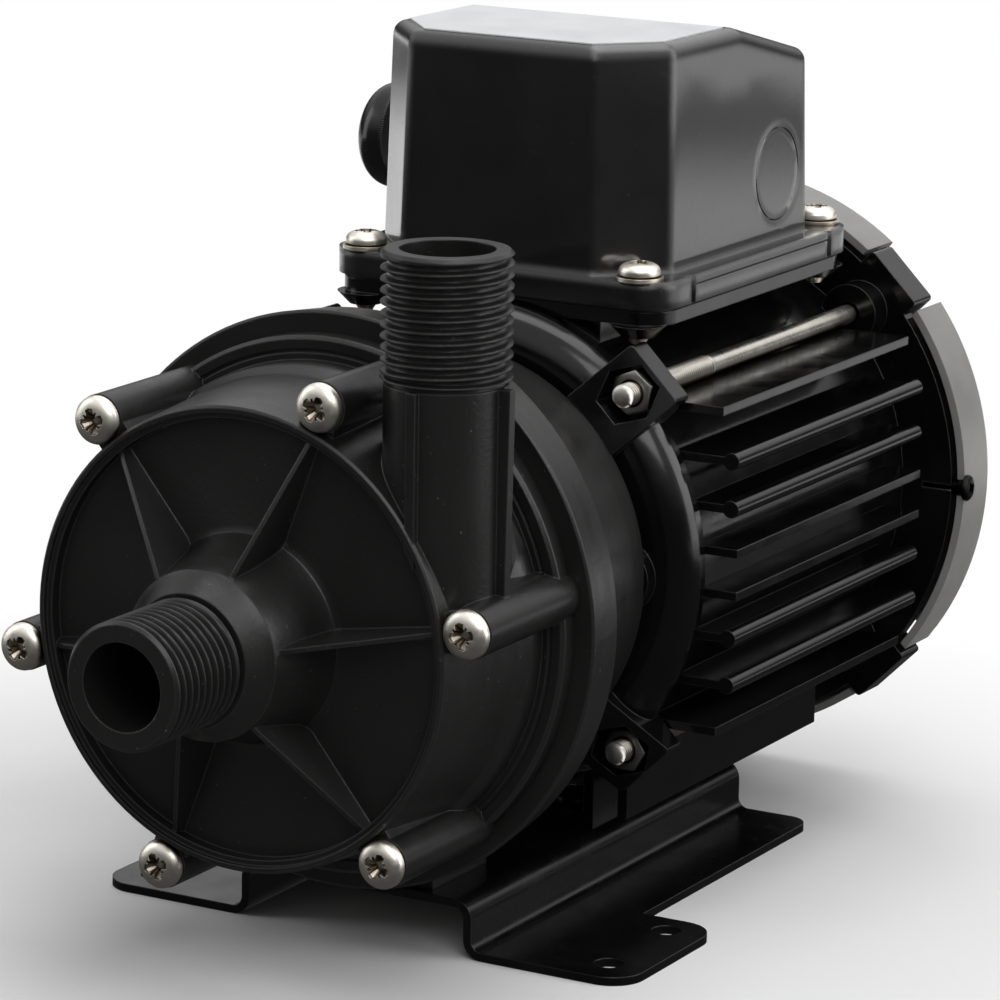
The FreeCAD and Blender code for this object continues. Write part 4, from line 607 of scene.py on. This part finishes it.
def thread_port(bm, origin, direction, start, end):
    """Takes the plain crest cylinder off the casing and sews the ridges in its place."""
    matrix = placed(origin, direction)
    inverse = matrix.inverted()
    plain = plain_crest(bm, inverse, start, end)
    rims = [[], []]
    for vert in {v for face in plain for v in face.verts}:
        local = inverse @ vert.co
        for rim, level in zip(rims, (start, end)):
            if abs(local.z - level * MM) < ON_CREST * MM:
                rim.append((math.atan2(local.y, local.x) % TAU, vert))
    bmesh.ops.delete(bm, geom=plain, context="FACES")
    low, high = (sorted(rim, key=lambda entry: entry[0]) for rim in rims)
    rings = [[vert for angle, vert in low]]
    angles = [angle for angle, vert in low]
    ridges = thread_rows(start, end, PIPE_CREST_R, PIPE_PITCH, PIPE_DEPTH)
    for height, radius_at in ridges[1:-1]:
        ring = []
        for angle in angles:
            r = radius_at(angle) * MM
            ring.append(bm.verts.new(matrix @ Vector((r * math.cos(angle), r * math.sin(angle),
                                                      height * MM))))
        rings.append(ring)
    if len(high) == len(low):
        rings.append([vert for angle, vert in high])
    for first, second in zip(rings, rings[1:]):
        for i in range(len(angles)):
            j = (i + 1) % len(angles)
            bm.faces.new((first[i], first[j], second[j], second[i]))


def thin_ribs(bm):
    """Gives the dish ribs the draft of a mould: thin front edge, wider foot."""
    shaft = point(0.0, 0.0, 0.0)
    for angle in around(CASING_SPOKES, SCREW_PHASE):
        along = Vector((math.cos(angle), 0.0, math.sin(angle)))
        across = Vector((-math.sin(angle), 0.0, math.cos(angle)))
        for vert in bm.verts:
            local = vert.co - shaft
            out, side, depth = local.dot(along) / MM, local.dot(across) / MM, local.y / MM
            on_side = abs(abs(side) - RIB_HALF) < RIB_SIDE_SLACK and depth < RIB_FOOT
            if on_side and RIB_START_R - RIB_START_SLACK < out < RIB_END_R:
                front = RIB_FRONT + (out - RIB_START_R) * RIB_SLOPE
                at_front = abs(depth - front) < RIB_FRONT_SLACK
                vert.co += across * (side * (-RIB_THINNING if at_front else RIB_SPREAD) * MM)


def make_casing():
    """Casing from its solid, with real ridges on both ports."""
    node = nodes["front_casing"]
    bm = bmesh.new()
    bm.from_mesh(node.data)
    bmesh.ops.transform(bm, matrix=node.matrix_world, verts=bm.verts)
    bmesh.ops.remove_doubles(bm, verts=bm.verts, dist=0.002 * MM)
    thin_ribs(bm)
    thread_port(bm, (TOWER_X, TOWER_Y, 0.0), (0, 0, 1), *TOWER_THREAD)
    thread_port(bm, (0.0, 0.0, 0.0), (0, 1, 0), *SUCTION_THREAD)
    bmesh.ops.recalc_face_normals(bm, faces=bm.faces)
    piece("casing_with_threads", to_mesh(bm, "casing_with_threads", 28.0), "casing_plastic",
          "front_casing")


def make_box_cover():
    """Box cover from its solid, with the grooves that part its corner blocks from its rails."""
    tools = []
    for side in (1, -1):
        outer = GROOVE_OUTER_X * side
        for end in (1, -1):
            y = BOX_MIDDLE + GROOVE_Y * end
            tools.append(box_tool(sorted((GROOVE_X * side, outer)),
                                  (y - GROOVE_HALF, y + GROOVE_HALF), GROOVE_Z))
        tools.append(box_tool(sorted((GROOVE_LINE_X * side, outer)),
                              (BOX_MIDDLE - GROOVE_LINE_Y, BOX_MIDDLE + GROOVE_LINE_Y),
                              GROOVE_LINE_Z))
    node = nodes["terminal_box_cover"]
    solid = node.data.copy()
    solid.transform(node.matrix_world)
    bm = bmesh.new()
    bm.from_mesh(carve(solid, tools))
    piece("grooved_box_cover", to_mesh(bm, "grooved_box_cover", 30.0), "box_plastic",
          "terminal_box_cover")


def screw_group(name, size, spots, node, material=None):
    """Equal screws as one piece, in place of their node."""
    mesh = scatter(name, pan_screw(*size), spots)
    piece(name, mesh, "stainless_steel", node, material=material)


def make_screws():
    """All pan head screws. The turns differ, as they do after tightening."""
    spots = []
    for i, angle in enumerate(around(CASING_SPOKES, SCREW_PHASE)):
        x, z = SCREW_CIRCLE_R * math.cos(angle), SCREW_CIRCLE_R * math.sin(angle)
        spots.append(placed((x, SCREW_SEAT, z), (0, -1, 0), math.radians(12 + 47 * i)))
    screw_group("pan_head_screws_of_casing", CASING_SCREW, spots, "casing_screws")
    spots = [placed((sx * BOX_SCREW_X, BOX_MIDDLE + sy * BOX_SCREW_Y, BOX_SEAT), (0, 0, 1),
                    0.6 + sx + 2.1 * sy) for sx in (1, -1) for sy in (1, -1)]
    screw_group("pan_head_screws_of_box", BOX_SCREW, spots, "terminal_box_screws")
    spots = [placed((side * FOOT_SCREW_X, FOOT_SCREW_Y, BASE_UNDER), (0, 0, -1), 0.4 * side)
             for side in (1, -1)]
    screw_group("pan_head_screws_of_bracket_foot", FOOT_SCREW, spots, "bracket_foot_screws")
    spots = [placed((side * BASE_SCREW_X, y, FOOT_TOP), (0, 0, 1), 0.9 * side + y)
             for side in (1, -1) for y in BASE_SCREW_YS]
    screw_group("pan_head_screws_of_base", BASE_SCREW, spots, "base_screws", BLACK_ZINC)
    spots = [placed((side * FAN_SCREW_X, FAN_SCREW_Y, 0.0), (side, 0, 0), 0.5)
             for side in (1, -1)]
    screw_group("pan_head_screws_of_fan_cover", FAN_COVER_SCREW, spots, "fan_cover_screws",
                BLACK_ZINC)


def tie_spots(y, first_turn, turn_step):
    """Places on the four tie bolts at one station, each turned a little further."""
    corners = [(TIE_OFFSET * sx, TIE_OFFSET * sz) for sx in (1, -1) for sz in (1, -1)]
    return [placed((x, y, z), (0, 1, 0), math.radians(first_turn + turn_step * i))
            for i, (x, z) in enumerate(corners)]


def make_tie_bolts():
    """Long bolts: chamfered tip, rolled thread thicker than the rod, hexagon head at the rear."""
    thread = [(TIE_TIP, 0.0), (TIE_TIP, 1.4), (TIE_THREAD_START, TIE_THREAD_R)]
    thread += thread_rows(TIE_THREAD_START, TIE_THREAD_END, TIE_THREAD_R, TIE_PITCH,
                          TIE_THREAD_DEPTH, 6)
    thread += [(TIE_THREAD_BACK, 1.82), (TIE_THREAD_BACK, 0.0)]
    thread_mesh = to_mesh(lathe(thread, 32), "tie_thread", 60.0)
    rod = [(TIE_ROD_START, 0.0), (TIE_ROD_START, TIE_ROD_R), (TIE_ROD_MIDDLE, TIE_ROD_R),
           (TIE_ROD_END, TIE_ROD_R), (TIE_ROD_END, 0.0)]
    rod_mesh = to_mesh(lathe(rod, 40), "tie_rod")
    head = to_mesh(lathe(hex_rows(NUT_ACROSS, TIE_HEAD_HEIGHT, 0.4), 72, True), "tie_head")
    cap = to_mesh(lathe([(2.4, 0.0), (2.4, 0.7), (0.6, 0.7), (0.6, 0.0)], 24), "tie_cap")
    lines = [Matrix.Translation(spot.translation) @ Matrix.Rotation(-math.pi / 2, 4, "X")
             for spot in tie_spots(0.0, 0, 0)]
    heads = tie_spots(TIE_HEAD_Y, 15, 11)
    rods = merged([scatter("tie_rods", rod_mesh, lines), scatter("tie_heads", head, heads),
                   scatter("tie_caps", cap, heads)])
    piece("tie_bolt_rods", rods, "stainless_steel", "tie_bolts", material=ZINC)
    piece("tie_bolt_threads", scatter("tie_bolt_threads", thread_mesh, lines), "stainless_steel",
          material=ZINC_THREAD)


def make_nuts():
    """Hexagon nuts on the tips of the tie bolts and under the base."""
    nut = to_mesh(lathe(hex_rows(NUT_ACROSS, NUT_HEIGHT, NUT_BORE_R), 72, True), "hex_nut")
    ties = scatter("tie_bolt_hex_nuts", nut, tie_spots(TIE_NUT_Y, 8, 23))
    # The nuts take the zinc with painted shade, darker than the rods
    piece("tie_bolt_hex_nuts", ties, "stainless_steel", "tie_bolt_nuts", material=SHADED_DULL_ZINC)
    spots = [placed((side * BASE_SCREW_X, y, BASE_UNDER), (0, 0, -1), 0.3 * side)
             for side in (1, -1) for y in BASE_SCREW_YS]
    piece("base_hex_nuts", scatter("base_hex_nuts", nut, spots), "stainless_steel", "base_nuts")


def make_gland_nut():
    """Cap nut: ribbed grip, smooth dome, plain bore."""

    def grip(depth):
        return lambda angle: GLAND_R - depth * (0.5 - 0.5 * math.cos(GLAND_RIBS * angle))

    start, tip = GLAND_START, GLAND_START + GLAND_SKIRT
    shoulder = start + GLAND_THREAD_LENGTH
    rows = [(shoulder, GLAND_THREAD_R), (start, GLAND_THREAD_R), (start, GLAND_RIM_R),
            (start + 0.4, grip(0.0)), (start + 0.7, grip(GLAND_RIB_DEPTH)),
            (tip - 2.6, grip(GLAND_RIB_DEPTH)), (tip - 2.1, grip(0.05)),
            (tip - 1.6, GLAND_R), (tip, GLAND_R)]
    for k in range(1, GLAND_DOME_STEPS + 1):
        a = 0.5 * math.pi * k / GLAND_DOME_STEPS
        rows.append((tip + GLAND_DOME_HEIGHT * math.sin(a),
                     GLAND_MOUTH_R + (GLAND_R - GLAND_MOUTH_R) * math.cos(a)))
    rows += [(tip + 4.3, 4.25), (tip - 2.0, GLAND_CORD_R), (shoulder, GLAND_CORD_R)]
    bm = lathe(rows, GLAND_RIBS * 4, True)
    bmesh.ops.transform(bm, matrix=placed(GLAND, (-1, 0, 0)), verts=bm.verts)
    piece("ribbed_gland_nut", to_mesh(bm, "ribbed_gland_nut", 40.0), "gland_plastic", "gland_nut")


make_casing()
make_box_cover()
make_screws()
make_tie_bolts()
make_nuts()
make_gland_nut()


# Floor, light and camera

def floor_material():
    """Pale floor: white ground away from the object, its shadow near it, and in reflections
    dark close by, bright behind, with one dark band further off."""
    n = Nodes("studio_floor")
    n.finish(color=n.mix(n.noise(30.0, detail=2.0), grey(0.86), grey(0.89)), rough=0.7,
             specular=0.2)
    place = n.add("ShaderNodeSeparateXYZ", {"Vector": n.coords}).outputs
    away = n.add("ShaderNodeVectorMath", {0: n.coords}, operation="LENGTH").outputs["Value"]
    path = n.add("ShaderNodeLightPath").outputs
    camera = n.times(path["Is Camera Ray"], n.span(away, *FLOOR_FADE))
    seen = n.maths("MAXIMUM", path["Is Glossy Ray"], path["Is Transmission Ray"])
    sideways = n.times(n.maths("ABSOLUTE", place["X"]), 0.5)
    back = n.plus(n.times(place["Y"], 0.87), sideways)
    from_band = n.maths("ABSOLUTE", n.maths("SUBTRACT", back, BAND_MIDDLE))
    band = n.span(from_band, *BAND_EDGES, to_low=BAND_TONE)
    mirrored = n.times(band, n.span(back, *FLOOR_BRIGHTENS, to_low=FLOOR_FRONT))
    strength = n.plus(path["Is Camera Ray"], n.times(seen, mirrored))
    ground = n.add("ShaderNodeEmission", {"Color": WHITE, "Strength": strength})
    mix = n.add("ShaderNodeMixShader", {0: n.maths("MAXIMUM", camera, seen)})
    for output, socket in ((n.shader.outputs["BSDF"], mix.inputs[1]),
                           (ground.outputs["Emission"], mix.inputs[2]),
                           (mix.outputs["Shader"],
                            n.tree.nodes["Material Output"].inputs["Surface"])):
        n.tree.links.new(output, socket)
    return n.material


def make_floor():
    """Level floor under the object."""
    mesh = bpy.data.meshes.new("floor")
    corners = [(x * FLOOR_HALF, y * FLOOR_HALF, 0) for x, y in ((-1, -1), (1, -1), (1, 1), (-1, 1))]
    mesh.from_pydata(corners, [], [(0, 1, 2, 3)])
    floor = bpy.data.objects.new("floor", mesh)
    bpy.context.scene.collection.objects.link(floor)
    floor.data.materials.append(floor_material())


def area_light(name, place, width, height, power):
    """Rectangular lamp that looks at the middle of the object."""
    data = bpy.data.lights.new(name, "AREA")
    data.shape = "RECTANGLE"
    data.size = width
    data.size_y = height
    data.energy = power
    lamp = bpy.data.objects.new(name, data)
    bpy.context.scene.collection.objects.link(lamp)
    lamp.location = place
    lamp.rotation_euler = (Vector(LAMP_TARGET) - Vector(place)).to_track_quat("-Z", "Y").to_euler()


def make_world():
    """White for the camera, soft light on the object, white backdrop behind in reflections."""
    world = bpy.data.worlds.new("studio")
    bpy.context.scene.world = world
    world.use_nodes = True
    tree = world.node_tree
    tree.nodes.clear()

    def node(kind, inputs=None, **settings):
        made = tree.nodes.new(kind)
        for key, value in settings.items():
            setattr(made, key, value)
        for key, value in (inputs or {}).items():
            if isinstance(value, bpy.types.NodeSocket):
                tree.links.new(value, made.inputs[key])
            else:
                made.inputs[key].default_value = value
        return made

    def maths(operation, first, second):
        return node("ShaderNodeMath", {0: first, 1: second}, operation=operation).outputs[0]

    def ramp(source, low, high, least, most):
        ends = {"Value": source, "From Min": low, "From Max": high, "To Min": least,
                "To Max": most}
        return node("ShaderNodeMapRange", ends).outputs["Result"]

    path = node("ShaderNodeLightPath").outputs
    way = node("ShaderNodeTexCoord").outputs["Generated"]
    way = node("ShaderNodeSeparateXYZ", {"Vector": way}).outputs
    facing = maths("ADD", way["Y"], maths("MULTIPLY", way["X"], 0.5))
    backdrop = maths("MULTIPLY", ramp(facing, *BACKDROP_TURN, *BACKDROP_TONE),
                     ramp(way["Z"], *BACKDROP_RISE, *BACKDROP_LEVELS))
    sky = ramp(way["Z"], *SKY_RISE, *SKY_LEVELS)
    seen = maths("MAXIMUM", path["Is Glossy Ray"], path["Is Transmission Ray"])
    mirrored = maths("MULTIPLY", seen, maths("MAXIMUM", backdrop, sky))
    plain = maths("MULTIPLY", maths("SUBTRACT", 1.0, seen), WORLD_LIGHT)
    strength = maths("MAXIMUM", maths("ADD", mirrored, plain), path["Is Camera Ray"])
    ground = node("ShaderNodeBackground", {"Color": WHITE, "Strength": strength})
    node("ShaderNodeOutputWorld", {"Surface": ground.outputs["Background"]})


def make_camera():
    """Camera of the photograph: azimuth from the front towards +X, elevation and roll."""
    azimuth, elevation, roll = (math.radians(angle) for angle in
                                (CAMERA_AZIMUTH, CAMERA_ELEVATION, CAMERA_ROLL))
    back = Vector((math.sin(azimuth) * math.cos(elevation),
                   -math.cos(azimuth) * math.cos(elevation), math.sin(elevation)))
    level = Vector((math.cos(azimuth), math.sin(azimuth), 0.0))
    upright = back.cross(level)
    right = math.cos(roll) * level + math.sin(roll) * upright
    up = -math.sin(roll) * level + math.cos(roll) * upright
    data = bpy.data.cameras.new("camera")
    data.lens = CAMERA_LENS
    data.sensor_width = CAMERA_SENSOR
    camera = bpy.data.objects.new("camera", data)
    bpy.context.scene.collection.objects.link(camera)
    turn = Matrix((right, up, back)).transposed().to_4x4()
    place = Vector(CAMERA_TARGET) + back * CAMERA_DISTANCE
    camera.matrix_world = Matrix.Translation(place) @ turn
    bpy.context.scene.camera = camera


make_floor()
make_world()
make_camera()
for lamp_name, lamp_settings in LAMPS.items():
    area_light(lamp_name, *lamp_settings)
bpy.context.scene.view_settings.view_transform = "Standard"
